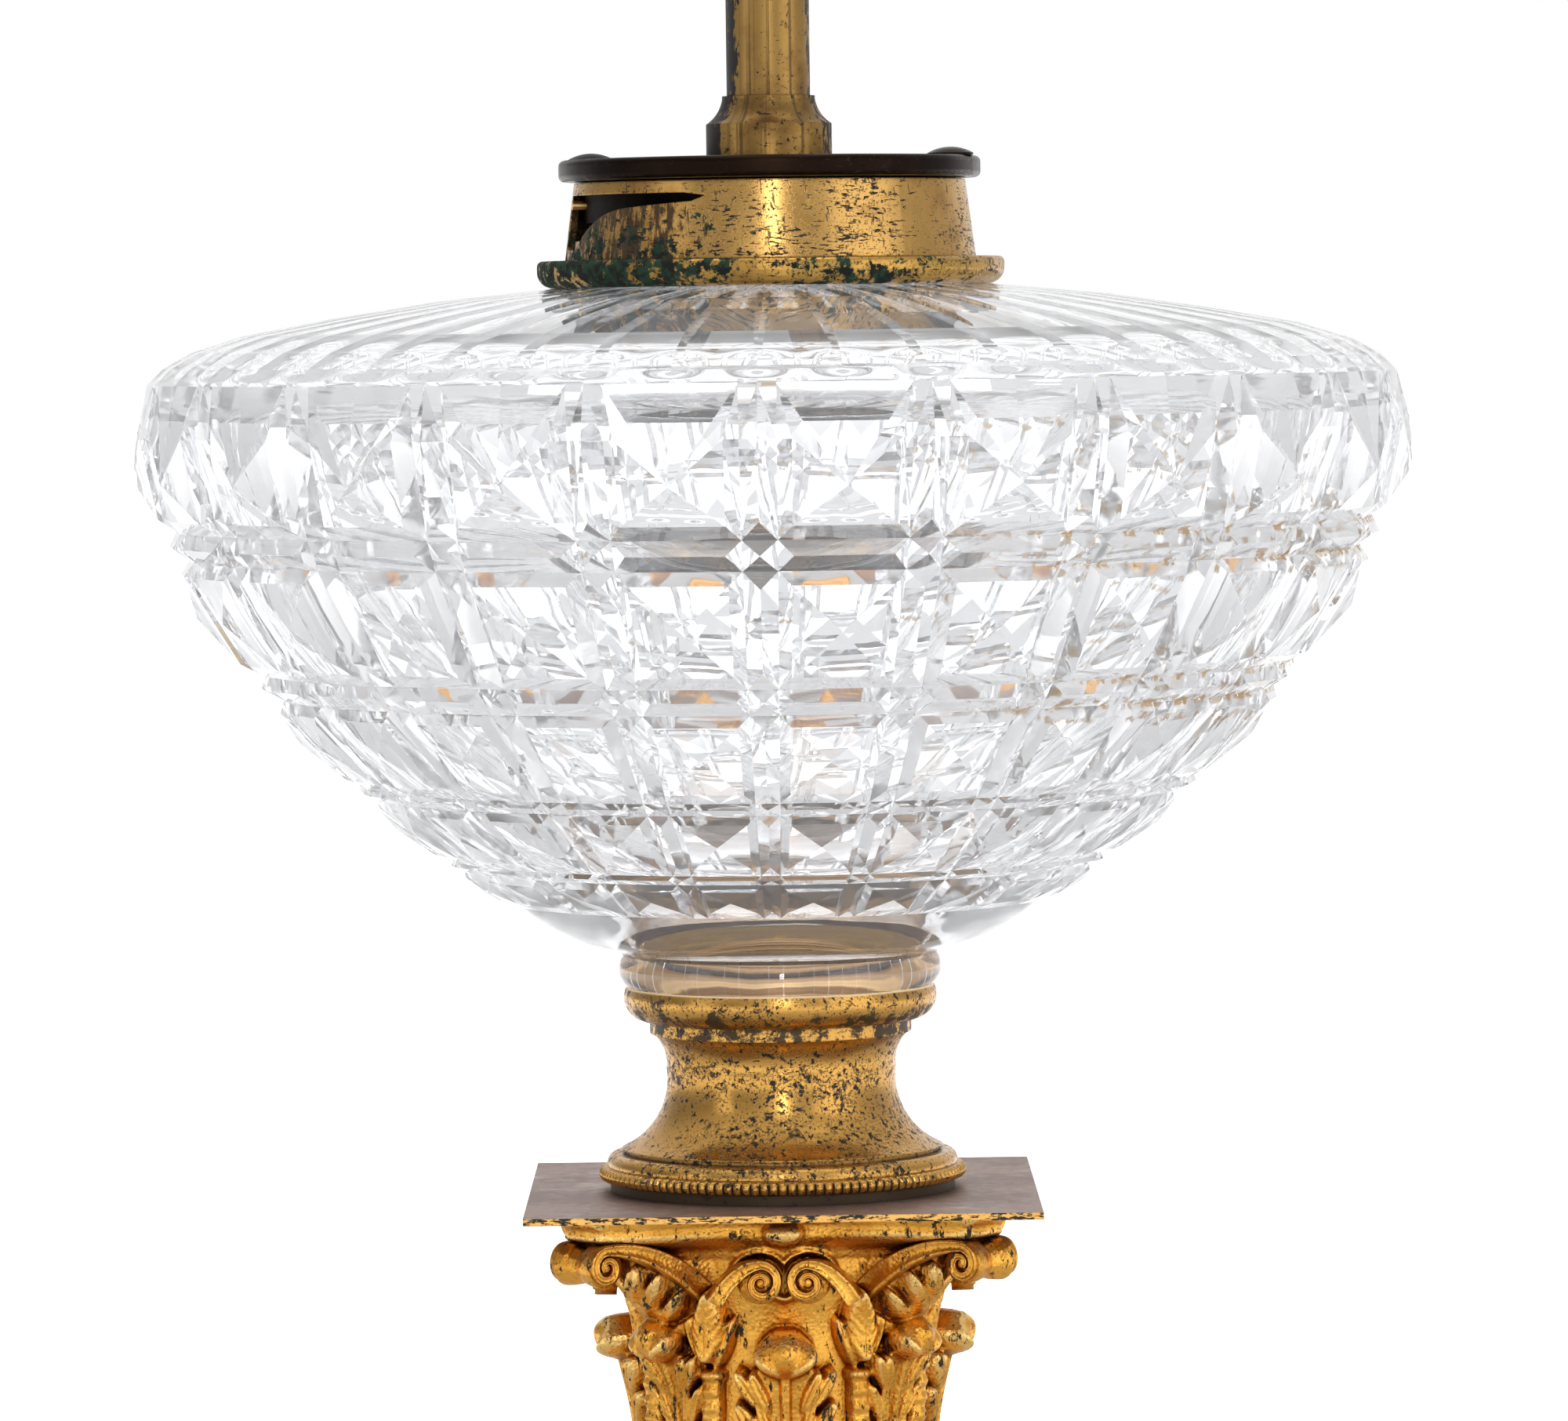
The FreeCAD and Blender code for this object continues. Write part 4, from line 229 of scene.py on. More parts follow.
def metal(name, bright, deep, stain, radius, rough, cloud, specks, speck_scale=900, dashes=0.3, hollow_shade_and_dirt=0.0,
          hollow_shade_reach=0.004, hollow_shade_top=None, green=None, patina=None, edge=0.0003, seat_top=None,
          dash_scale=620):
    """Aged metal: clouds from bright to deep, dark specks, dashes round it, and painted shade in its hollows,
    darkened towards the stain colour.

    radius is that of the surface, for marks that run round it. Patina and green add marks of their own, and
    the patina of the beads is painted shade.
    The painted shade in the hollows stops at a given height, and above seat_top lies the pale face under the
    glass.
    """
    made, g = material(name)
    flat = g.unrolled(radius)
    place = g.place()
    clouds = g.noise(place, 55, 5, 0.6)
    colour = g.mix(g.ramp(clouds, 0.62 - 0.3*cloud, 0.78 - 0.1*cloud), bright, deep)
    busy = g.ramp(g.noise(place, 60, 4, 0.6), 0.38, 0.58)
    drawn = g.scaled(flat, 0.55, 0.5, 2.6)
    marks = 0.0
    # noise, how much more of it busy places have, where its marks begin and are full, and their strength
    for field, more, low, high, strength in (
        (g.noise(drawn, dash_scale, 3, 0.6), 0.05, 0.74 - 0.12*dashes, 0.80 - 0.12*dashes, 1.0),
        (g.noise(place, speck_scale, 4, 0.68), 0.06, 0.70 - 0.1*specks, 0.77 - 0.1*specks, 1.0),
        (g.noise(place, speck_scale*2.3, 2, 0.6), 0.07, 0.72 - 0.1*specks, 0.80 - 0.1*specks, 0.7),
    ):
        share = g.times(g.ramp(g.math("MULTIPLY_ADD", busy, more, field), low, high), strength)
        marks = g.math("MAXIMUM", marks, share)
    # a patina function may also paint shade, as that of the beads does
    if patina is not None:
        marks = g.math("MAXIMUM", marks, patina(g, place, flat))
    colour = g.mix(marks, colour, stain)
    roughness = g.blend(g.ramp(clouds, 0.35, 0.7), rough[0], rough[1])
    metallic = g.blend(marks, 1.0, 0.35)
    # painted shade: ambient occlusion finds the hollows, and they are darkened towards the stain colour
    if hollow_shade_and_dirt:
        open_share = g.hollow(hollow_shade_reach)
        hollow_shade_and_grime = g.times(g.ramp(open_share, 0.75, 0.25), hollow_shade_and_dirt)
        if hollow_shade_top is not None:
            hollow_shade_and_grime = g.times(hollow_shade_and_grime, g.ramp(g.split(place)[2], hollow_shade_top, hollow_shade_top - 0.003))
        colour = g.mix(hollow_shade_and_grime, colour, stain)
        metallic = g.math("MULTIPLY", metallic, g.blend(hollow_shade_and_grime, 1.0, 0.4))
        roughness = g.math("MAXIMUM", roughness, g.times(hollow_shade_and_grime, 0.6))
    if green is not None:
        share = green(g, place)
        mottle = g.ramp(g.noise(place, 620, 3, 0.6), 0.42, 0.58)
        colour = g.mix(share, colour, g.mix(mottle, (0.005, 0.008, 0.005), (0.012, 0.040, 0.020)))
        metallic = g.math("MULTIPLY", metallic, g.blend(share, 1.0, 0.0))
        roughness = g.math("MAXIMUM", roughness, g.times(share, 0.75))
        marks = g.math("MAXIMUM", marks, share)
    if seat_top is not None:
        seat = g.ramp(g.split(place)[2], seat_top - 0.0004, seat_top - 0.0001)
        colour = g.mix(seat, colour, (0.88, 0.66, 0.38))
        metallic = g.math("MULTIPLY", metallic, g.blend(seat, 1.0, 0.1))
    height = g.math("ADD", g.times(g.noise(place, 260, 4, 0.6), 0.35), g.times(marks, 0.3))
    g.surface(
        Base_Color=colour,
        Metallic=metallic,
        Roughness=g.math("ADD", roughness, g.times(marks, 0.25)),
        Normal=g.bump(height, 0.00012, 0.6, g.soft_edges(edge)),
    )
    return made


def stem_patina(g, place, flat):
    """Dark patina up the sides of the stem, ragged at its edges, and long marks from drawing the tube."""
    x, y, _ = g.split(place)
    side = g.math("DIVIDE", x, g.out(x, y))
    ragged = g.noise(g.scaled(place, 1.5, 1.5, 0.5), 520, 5, 0.72)
    left = g.ramp(side, -0.60, -0.92)
    right = g.ramp(side, 0.72, 1.0)
    rim = g.math("MAXIMUM", g.times(left, 0.33), g.times(right, 0.22))
    patches = g.ramp(g.math("ADD", ragged, rim), 0.64, 0.71)
    drawn = g.noise(g.scaled(flat, 1.0, 0.0, 0.006), 1500, 2, 0.5)
    return g.math("MAXIMUM", patches, g.times(g.ramp(drawn, 0.52, 0.66), 0.55))


def collar_patina(g, place, flat):
    """Brown rubbed streaks up the left of the collar."""
    x, _, z = g.split(place)
    streaks = g.noise(g.scaled(flat, 1.3, 0.5, 0.32), 800, 4, 0.68)
    left = g.ramp(x, -0.005, -0.020)
    low = g.ramp(z, COLLAR_TOP + 0.0003, COLLAR_TOP - 0.0042)
    return g.times(g.ramp(g.math("ADD", streaks, g.times(left, low, 0.20)), 0.60, 0.70), 0.88)


def neck_patina(g, place, flat):
    """Dark blooms on the torus of the neck, in the channel under it, and up the left of the cove."""
    x, _, z = g.split(place)
    bloom = g.noise(place, 300, 5, 0.72)
    under = g.ramp(z, NECK_TOP - 0.0014, NECK_TOP - 0.0040)
    torus = g.times(under, g.ramp(z, NECK_TOP - 0.0085, NECK_TOP - 0.0065))
    left = g.times(g.ramp(x, -0.006, -0.019), g.ramp(z, NECK_TOP - 0.022, NECK_TOP - 0.012))
    more = g.math("MAXIMUM", g.times(torus, 0.145), g.times(left, 0.075))
    return g.times(g.ramp(g.math("ADD", more, bloom), 0.60, 0.68), 0.92)


def bead_painted_shade(g, place, flat):
    """Painted shade in the grooves between the beads, and a painted shadow on the foot under them."""
    x, y, z = g.split(place)
    phase = g.times(g.turn(x, y), BEADS/2)
    # painted shade in the gaps between the beads
    groove_shade = g.ramp(g.math("ABSOLUTE", g.math("COSINE", phase)), 0.52, 0.20)
    band = g.times(g.ramp(z, RIM_FOOT + 0.0014, RIM_FOOT + 0.0018),
                   g.ramp(z, RIM_FOOT + 0.0037, RIM_FOOT + 0.0032))
    # painted shadow on the recessed foot under the beads
    foot = g.ramp(z, RIM_FOOT + 0.0019, RIM_FOOT + 0.0014)
    return g.math("MAXIMUM", g.times(groove_shade, band, 0.95), g.times(foot, 0.92))


def collar_green(g, place):
    """Verdigris low on the left of the collar, where it has stood damp."""
    x, _, z = g.split(place)
    patch = g.noise(place, 420, 4, 0.7)
    where = g.noise(place, 110, 3, 0.6)
    low = g.ramp(z, COLLAR_TOP - 0.0017, COLLAR_TOP - 0.0112)
    left = g.ramp(x, 0.006, -0.022)
    return g.ramp(g.math("ADD", patch, g.times(low, left, where, 0.26)), 0.63, 0.68)


def flange_green(g, place):
    """Verdigris along the flange, thickest at the left and beside the middle."""
    x = g.split(place)[0]
    patch = g.noise(place, 400, 5, 0.72)
    where = g.ramp(g.noise(place, 120, 3, 0.6), 0.38, 0.55)
    left = g.ramp(x, 0.002, -0.016)
    middle = g.times(g.ramp(x, -0.002, 0.006), g.ramp(x, 0.031, 0.018), where)
    more = g.math("MAXIMUM", g.times(left, 0.17), g.times(middle, 0.12))
    return g.ramp(g.math("ADD", patch, more), 0.58, 0.63)


NECK_GOLD = (0.60, 0.325, 0.078)
GOLD_DEEP = (0.25, 0.115, 0.024)
STAIN = (0.010, 0.006, 0.004)

brass_stem = metal(
    "aged_brass_tube", (0.33, 0.195, 0.058), (0.14, 0.075, 0.024), STAIN, 0.0065, (0.22, 0.40), 0.35, 0.45,
    dashes=0.45, hollow_shade_and_dirt=0.3, patina=stem_patina)
brass_cover = metal(
    "aged_brass_cover", (0.36, 0.22, 0.075), (0.10, 0.055, 0.02), STAIN, 0.03, (0.3, 0.5), 0.8, 0.5,
    dashes=0.5, hollow_shade_and_dirt=0.4)
brass_collar = metal(
    "gilt_brass_collar", (0.60, 0.35, 0.105), GOLD_DEEP, STAIN, 0.03, (0.20, 0.38), 0.35, 0.8, 1300,
    dashes=1.15, dash_scale=1050, green=collar_green, patina=collar_patina)
brass_flange = metal(
    "brass_flange", (0.50, 0.29, 0.07), (0.22, 0.12, 0.03), STAIN, 0.035, (0.22, 0.42), 0.5, 0.9, 1000,
    dashes=0.7, green=flange_green)
brass_neck = metal(
    "lacquered_brass", NECK_GOLD, GOLD_DEEP, STAIN, 0.022, (0.17, 0.32), 0.1, 1.2, 1050,
    dashes=0.45, hollow_shade_and_dirt=0.6, hollow_shade_top=NECK_TOP - 0.002, patina=neck_patina, seat_top=NECK_TOP)
brass_beads = metal(
    "gadroon_brass", NECK_GOLD, GOLD_DEEP, STAIN, 0.022, (0.17, 0.32), 0.2, 0.9, 1050,
    dashes=0.5, hollow_shade_and_dirt=0.9, hollow_shade_reach=0.0015, edge=0.0001, patina=bead_painted_shade)
sleeve_bronze = metal(
    "sleeve_bronze", (0.010, 0.007, 0.005), (0.005, 0.004, 0.003), (0.002, 0.002, 0.002), 0.028, (0.6, 0.8),
    0.5, 0.3, dashes=0.2)
brass_inner = metal(
    "brass_inside", (0.74, 0.50, 0.20), (0.46, 0.29, 0.11), STAIN, 0.02, (0.3, 0.5), 0.5, 0.2)
brass_holder = metal(
    "brass_holder", (0.54, 0.34, 0.105), (0.30, 0.17, 0.05), STAIN, 0.016, (0.22, 0.36), 0.4, 0.3,
    hollow_shade_and_dirt=0.5, hollow_shade_reach=0.002)
dark_bronze = metal(
    "dark_bronze", (0.016, 0.009, 0.006), (0.007, 0.004, 0.003), (0.003, 0.002, 0.002), 0.033, (0.3, 0.5),
    0.6, 0.3)
steel = metal(
    "steel", (0.42, 0.41, 0.40), (0.25, 0.24, 0.23), (0.05, 0.03, 0.02), 0.005, (0.3, 0.5), 0.4, 0.3)
iron = metal(
    "cast_iron", (0.05, 0.047, 0.045), (0.025, 0.022, 0.02), (0.03, 0.012, 0.006), 0.05, (0.6, 0.8), 0.5, 0.6,
    300, dashes=0.0)


# ---------------------------------------------------------------- glass, plaster, felt and insulation

DOME_FLUTES = 48
DOME_FLUTE_START = math.radians(-1.3)
FONT_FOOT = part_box("font_glass")[0].z
DOME_FOOT = FONT_FOOT + 0.0955
# heights over the foot of the font of the grooves that hold brown residue
RESIDUE_RISES = (0.0676, 0.0722, 0.0460, 0.0500)


def cut_glass():
    """Clear lead crystal: flutes ground over the dome, and brown residue left in the grooves of one side."""
    made, g = material("cut_crystal")
    place = g.place()
    x, y, z = g.split(place)
    out = g.out(x, y)
    phase = g.math("MULTIPLY_ADD", g.turn(x, y), DOME_FLUTES/2, -DOME_FLUTE_START*DOME_FLUTES/2)
    ridges = g.math("SUBTRACT", 1.0, g.math("ABSOLUTE", g.math("SINE", phase)))
    dome = g.times(g.ramp(z, DOME_FOOT, DOME_FOOT + 0.0015), g.ramp(out, 0.034, 0.048))
    fluted = g.bump(g.times(ridges, dome, out), 0.0075, 1.0)
    waves = g.noise(place, 24, 2, 0.5)
    residue_noise = g.noise(g.scaled(place, 1, 1, 0.5), 300, 5, 0.7)
    crease = 0.0
    for rise in RESIDUE_RISES:
        off = g.math("ABSOLUTE", g.math("SUBTRACT", z, FONT_FOOT + rise))
        crease = g.math("MAXIMUM", crease, g.ramp(off, 0.0009, 0.0004))
    residue = g.times(crease, g.ramp(x, 0.020, 0.045), g.ramp(residue_noise, 0.50, 0.60))
    shader = g.surface(
        Base_Color=(0.975, 0.98, 0.995),
        Roughness=0.0,
        Transmission_Weight=0.94,
        IOR=1.545,
        Normal=g.bump(waves, 0.0012, 0.12, fluted),
    )
    stained = g.node("BsdfDiffuse")
    stained.inputs[0].default_value = (0.42, 0.27, 0.11, 1)
    dirty = g.node("MixShader")
    g.feed(dirty.inputs[0], g.times(residue, 0.8))
    g.links.new(shader.outputs[0], dirty.inputs[1])
    g.links.new(stained.outputs[0], dirty.inputs[2])
    clear = g.node("BsdfTransparent")
    clear.inputs[0].default_value = (0.97, 0.98, 0.98, 1)
    both = g.node("MixShader")
    g.feed(both.inputs[0], g.node("LightPath").outputs["Is Shadow Ray"])
    g.links.new(dirty.outputs[0], both.inputs[1])
    g.links.new(clear.outputs[0], both.inputs[2])
    g.links.new(both.outputs[0], g.target.inputs[0])
    return made


def plain(name, first, second, scale, rough, height=0.0001):
    """A dull solid whose tone wanders between two colours, with a fine grain."""
    made, g = material(name)
    place = g.place()
    tone = g.noise(place, scale, 5, 0.6)
    grain = g.noise(place, scale*9, 3, 0.6)
    g.surface(
        Base_Color=g.mix(g.ramp(tone, 0.35, 0.65), first, second),
        Roughness=g.blend(grain, rough - 0.08, rough + 0.08),
        Normal=g.bump(grain, height, 0.7),
    )
    return made


def tarnished_plate():
    """Brownish tarnish over the plate, silvery where it is rubbed, and worn gilding along its edges."""
    made, g = material("tarnished_plate")
    place = g.place()
    tone = g.noise(place, 42, 4, 0.6)
    fine = g.noise(place, 520, 3, 0.65)
    darker = g.ramp(g.math("MULTIPLY_ADD", fine, 0.4, tone), 0.58, 0.80)
    brown = g.mix(darker, (0.37, 0.265, 0.23), (0.26, 0.18, 0.155))
    rubbed = g.times(g.ramp(g.noise(place, 75, 6, 0.7), 0.50, 0.74), 0.7)
    top = g.mix(rubbed, brown, (0.54, 0.45, 0.36))
    worn = g.ramp(g.noise(g.scaled(place, 0.45, 0.45, 1.6), 900, 4, 0.72), 0.50, 0.55)
    side = g.mix(worn, (0.85, 0.48, 0.13), STAIN)
    upward = g.split(g.node("NewGeometry").outputs["Normal"])[2]
    facing = g.ramp(g.math("ABSOLUTE", upward), 0.75, 0.35)
    g.surface(
        Base_Color=g.mix(facing, top, side),
        Metallic=g.blend(g.times(worn, facing), 0.9, 0.2),
        Roughness=g.blend(rubbed, g.blend(fine, 0.42, 0.56), 0.30),
        Normal=g.bump(g.math("ADD", fine, g.times(worn, facing, 0.8)), 0.00012, 0.6, g.soft_edges(0.0003)),
    )
    return made


def painted_cup_plaster():
    """Plaster in the foot of the font, with level stripes of painted reflection that stand for the brass cup
    inside, seen through the glass.
    """
    made, g = material("plaster_with_painted_cup")
    place = g.place()
    z = g.split(place)[2]
    wander = g.noise(g.scaled(place, 0.5, 0.5, 1.0), 160, 4, 0.6)
    rise = g.math("MULTIPLY_ADD", wander, 0.0006, g.math("SUBTRACT", z, FONT_FOOT + 0.0003))
    # painted reflection: golden brown and dark level stripes for the brass cup seen through the glass
    lines = g.noise(g.join(0.0, 0.0, rise), 1300, 2, 0.6)
    colour = g.mix(g.ramp(lines, 0.44, 0.53), (0.92, 0.60, 0.28), (0.30, 0.15, 0.045))
    colour = g.mix(g.ramp(lines, 0.54, 0.58), colour, (0.04, 0.018, 0.006))
    g.surface(Base_Color=colour, Roughness=g.blend(lines, 0.3, 0.5), Metallic=0.35,
              Normal=g.bump(lines, 0.0003, 0.8))
    return made


crystal = cut_glass()
foot_plaster_painted_cup = painted_cup_plaster()
brass_plate = tarnished_plate()
plaster = plain("plaster", (0.74, 0.55, 0.33), (0.60, 0.40, 0.20), 90, 0.8, 0.0003)
gasket = plain("cork_gasket", (0.30, 0.19, 0.10), (0.19, 0.11, 0.06), 400, 0.85, 0.0003)
felt = plain("green_felt", (0.012, 0.05, 0.022), (0.02, 0.075, 0.035), 500, 0.95, 0.0004)
insulation_black = plain("black_insulation", (0.012, 0.011, 0.010), (0.022, 0.020, 0.018), 120, 0.35)
insulation_fibre = plain("fibre_liner", (0.30, 0.20, 0.11), (0.22, 0.14, 0.08), 300, 0.8)
insulation_core = plain("porcelain_core", (0.72, 0.69, 0.62), (0.66, 0.62, 0.55), 60, 0.3)
key_brown = plain("brown_key", (0.07, 0.028, 0.012), (0.045, 0.018, 0.009), 160, 0.3)


def gilding(name, carved):
    """Matt gilding: painted shade of deep orange in hollows, a paler painted highlight where it is proud, and
    worn through to black in streaks.

    A carved piece says by its attribute where it is proud, and a smooth one counts as proud along its edges,
    which get a painted highlight and more wear.
    """
    made, g = material(name)
    place = g.place()
    clouds = g.noise(place, 120, 4, 0.6)
    open_share = g.hollow(0.004)
    colour = g.mix(g.ramp(clouds, 0.35, 0.7), (0.88, 0.45, 0.075), (0.66, 0.30, 0.04))
    if carved:
        # painted shade and painted highlight: deep orange where the relief sinks in, pale gold where it
        # stands proud
        proud = g.node("Attribute", attribute_name="proud").outputs["Fac"]
        colour = g.mix(g.ramp(proud, -0.05, -0.9), colour, (0.42, 0.14, 0.012))
        colour = g.mix(g.ramp(proud, 0.25, 0.95), colour, (0.92, 0.60, 0.20))
        busy = g.math("ADD", g.times(g.ramp(proud, -0.2, 0.5), 0.06), g.times(g.ramp(proud, 0.8, 2.4), 0.05))
    else:
        # painted highlight: pale gold along sharp edges, which also wear more
        rubbed = g.times(g.edges(0.0011), 0.9)
        colour = g.mix(rubbed, colour, (0.92, 0.60, 0.20))
        busy = g.math("MULTIPLY_ADD", rubbed, 0.08, 0.0)
    # painted shade: ambient occlusion finds the hollows, and they are darkened to deep brown
    colour = g.mix(g.times(g.ramp(open_share, 0.62, 0.20), 0.85), colour, (0.10, 0.028, 0.004))
    streaks = g.noise(g.scaled(place, 1.0, 1.0, 0.42), 620, 5, 0.72)
    fine_wear = g.noise(g.scaled(place, 1.0, 1.0, 0.5), 1500, 3, 0.7)
    patches = g.ramp(g.noise(place, 75, 3, 0.6), 0.44, 0.62)
    high = g.times(busy, g.blend(patches, 0.3, 1.0))
    worn = g.math("MAXIMUM", g.ramp(g.math("ADD", streaks, high), 0.600, 0.650),
                  g.times(g.ramp(g.math("ADD", fine_wear, high), 0.640, 0.700), 0.8))
    colour = g.mix(worn, colour, (0.014, 0.009, 0.005))
    grain = g.cells(place, 1500)
    fine = g.noise(place, 900, 3, 0.6)
    height = g.math("SUBTRACT", g.times(g.math("ADD", grain, fine), 0.6), g.times(worn, 0.8))
    if carved:
        normal = g.bump(height, 0.00022, 0.7)
    else:
        normal = g.bump(height, 0.00022, 0.4, g.soft_edges(0.0005))
    g.surface(
        Base_Color=colour,
        Metallic=g.blend(worn, 1.0, 0.2),
        Roughness=g.blend(worn, g.blend(clouds, 0.27, 0.42), 0.6),
        Normal=normal,
    )
    return made


carved_gilt = gilding("carved_gilt", True)
smooth_gilt = gilding("smooth_gilt", False)

SLOT_MATERIALS = {
    "felt": felt,
    "gilt_base": smooth_gilt,
    "iron_load": iron,
    "steel": steel,
    "gilt_column": smooth_gilt,
    "gilt_capital": smooth_gilt,
    "brass_plate": brass_plate,
    "brass_neck": brass_neck,
    "brass_inner": brass_inner,
    "plaster": plaster,
    "cut_glass": crystal,
    "brass_flange": brass_flange,
    "brass_collar": brass_collar,
    "dark_bronze": dark_bronze,
    "brass_cover": brass_cover,
    "gasket": gasket,
    "brass_stem": brass_stem,
    "brass_holder": brass_holder,
    "insulation_black": insulation_black,
    "insulation_fibre": insulation_fibre,
    "insulation_core": insulation_core,
    "key_brown": key_brown,
}

OWN_MATERIALS = {"ring_sleeve": sleeve_bronze, "foot_cement": foot_plaster_painted_cup}

PART_SLOTS = {row["node"]: row["material_slot"] for row in frame["record"]["subparts"]}

for node_name, node_object in frame["nodes"].items():
    slot_name = PART_SLOTS.get(node_name)
    node_material = OWN_MATERIALS.get(node_name, SLOT_MATERIALS.get(slot_name))
    if node_material is None:
        raise RuntimeError(f"no material for {node_name} in slot {slot_name}")
    node_object.data.materials.clear()
    node_object.data.materials.append(node_material)


# ---------------------------------------------------------------- mesh making

MM = 0.001


def add_mesh(name, places, faces, attributes=None):
    """An object from places in metres and faces, smoothly shaded."""
    mesh = bpy.data.meshes.new(name)
    mesh.from_pydata([tuple(place) for place in places], [], [tuple(face) for face in faces])
    mesh.validate()
    mesh.shade_smooth()
    for label, values in (attributes or {}).items():
        marks = mesh.attributes.new(label, "FLOAT", "POINT")
        marks.data.foreach_set("value", np.asarray(values, np.float32))
    made = bpy.data.objects.new(name, mesh)
    bpy.context.scene.collection.objects.link(made)
    return made


def turned_places(out, turn, height):
    """Places at distances out from the axis, angles round it from the front, and heights."""
    return np.stack([out*np.sin(turn), -out*np.cos(turn), height], axis=-1)


def ring_faces(around, count):
    """Faces of a closed turned body, whose points go up its section, and then round its axis."""
    index = np.arange(around*count).reshape(around, count)
    ahead, above = np.roll(index, -1, axis=0), np.roll(index, -1, axis=1)
    return np.stack([index, ahead, np.roll(ahead, -1, axis=1), above], axis=-1).reshape(-1, 4).tolist()


# ---------------------------------------------------------------- carved capital

# Lengths are in millimetres here, and t is a height over the top of the capital, so it is below zero.
CAPITAL_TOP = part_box("capital")[1].z
CAPITAL_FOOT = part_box("capital")[0].z
CAPITAL_RISE = (CAPITAL_TOP - CAPITAL_FOOT)/MM
AXIAL_TIP, CORNER_TIP, LOWER_TIP = -18.4, -17.0, -38.0
LEAF_FORWARD_LENGTH = 22
HOOD_LENGTH = 7.3
HOOD_HALF_WIDTH = 3.9
HOOD_SCALLOPS = 8
STALK_OFFSET = 10.7
STALK_TOP = -25
STALK_HALF_WIDTH = 1.45
KNOP_HEIGHT = -25.6
BUD_FOOT = -23.7
BUD_RISE = 11.7
HELIX_OFFSET = 3.6
HELIX_HEIGHT = -10.6
ABACUS_WAIST = 27.5
ABACUS_CORNER = 44.8
ABACUS_FOOT = -2.8
UNDERSIDE_FOOT = -7.2
FLEURON_OUT = 26.2
FLEURON_HALF_WIDTH = 3.4
EYE_TURNS = 1.35

# across, drop from the tip, lean in degrees, half length, half width and rise of the lobes of a leaf
LEAF_LOBES = (
    (3.5, 9.6, 20, 3.7, 1.15, 2.5),
    (5.3, 9.2, 26, 3.5, 1.35, 2.2),
    (2.9, 15.0, 16, 4.4, 1.1, 2.3),
    (5.2, 14.6, 30, 3.9, 1.5, 2.2),
    (2.7, 21.0, 16, 4.4, 1.1, 2.2),
    (5.3, 20.4, 34, 3.9, 1.5, 2.1),
    (2.6, 27.0, 16, 4.4, 1.1, 2.1),
    (5.1, 26.4, 34, 3.9, 1.5, 2.0),
    (2.5, 33.0, 16, 4.2, 1.1, 2.0),
    (4.9, 32.4, 34, 3.9, 1.5, 1.9),
)

# across, t, lean in degrees, half length, half width and rise of the leaflets
FOLIAGE = (
    (-24.6, -13.0, -14, 6.4, 1.9, 3.4),
    (-22.0, -12.0, 2, 4.6, 1.5, 3.2),
    (-19.4, -13.2, 16, 4.4, 1.45, 3.0),
    (-16.8, -15.6, 28, 3.9, 1.35, 2.8),
    (-14.6, -18.6, 38, 3.4, 1.2, 2.5),
    (-22.4, -17.4, -4, 4.8, 1.5, 2.8),
    (-19.6, -18.2, 12, 4.2, 1.4, 2.6),
    (-16.6, -20.4, 28, 3.6, 1.3, 2.4),
    (-13.9, -22.6, 36, 3.0, 1.0, 2.2),
)
CUP_LEAVES = (
    (-12.7, -20.6, -18, 4.4, 1.15, 3.0),
    (-8.8, -20.6, 18, 4.4, 1.15, 3.0),
)


def step(value, low, high):
    """Goes smoothly from zero at low to one at high."""
    share = np.clip((value - low)/(high - low), 0, 1)
    return share*share*(3 - 2*share)


def back(across, half_width):
    """A round back: one along its middle and zero at its edges."""
    return np.sqrt(np.clip(1 - (across/half_width)**2, 0, 1))


def ridge(across, half_width):
    return np.exp(-(across/half_width)**2)


def leaflet(x, t, across, height, lean, half_length, half_width, rise):
    """A small pointed lobe with a vein, whose long way leans from upright by an angle."""
    turn = math.radians(lean)
    dx, dt = x - across, t - height
    along = dt*math.cos(turn) + dx*math.sin(turn)
    aside = dx*math.cos(turn) - dt*math.sin(turn)
    room = half_width*np.clip(1 - (along/half_length)**2, 0, 1)**0.7 + 1e-6
    lobe = rise*back(aside, room) - 0.35*rise*ridge(aside, 0.22)
    return np.where(np.abs(along) < half_length, lobe, 0)


def acanthus(s, t, tip, scale, lean, stand):
    """Height of a leaf: paired lobes with veins, a midrib, and a hood that curls out over its tip."""
    side = np.abs(s)/scale
    down = (tip - t)/scale
    forward = lean*step(down, LEAF_FORWARD_LENGTH, 1)**1.6
    height = np.where((side < 4.4 + 0.9*np.sin(down*0.95)) & (down > 3.5), 1.0 + forward, 0)
    for across, drop, turn, length, width, rise in LEAF_LOBES:
        lobe = leaflet(side, -down, across, -drop, turn, length, width, rise)
        height = np.maximum(height, np.where(lobe > 0.05, lobe + forward, 0))
    rib = np.where(down > 6.5, 2.6*back(side, 0.85) - 0.7*ridge(side, 0.2), 0)
    height = np.maximum(height, np.where(rib > 0, rib + forward, 0))
    fall = down/HOOD_LENGTH
    spread = np.arctan2(side, np.maximum(7.6 - down, 0.2))
    scallop = np.cos(HOOD_SCALLOPS*spread)
    end = np.clip(1 - np.abs((fall - 0.5)/0.5)**2.6, 0, 1)**0.5
    room = HOOD_HALF_WIDTH*(1 + 0.07*scallop)*end + 1e-6
    swell = np.where(fall < 0.66, back(fall - 0.66, 0.66), back(fall - 0.66, 0.36))
    hood = forward + 0.6 + stand*swell*back(side, room)**0.5
    hood = hood + 0.45*scallop*step(side, 4.4, 3.0) - 1.1*ridge(side, 0.55)*step(fall, 0.25, 0.8)
    shown = (side < room) & (fall > 0) & (fall < 1.0)
    return np.maximum(height, np.where(shown, hood, 0))


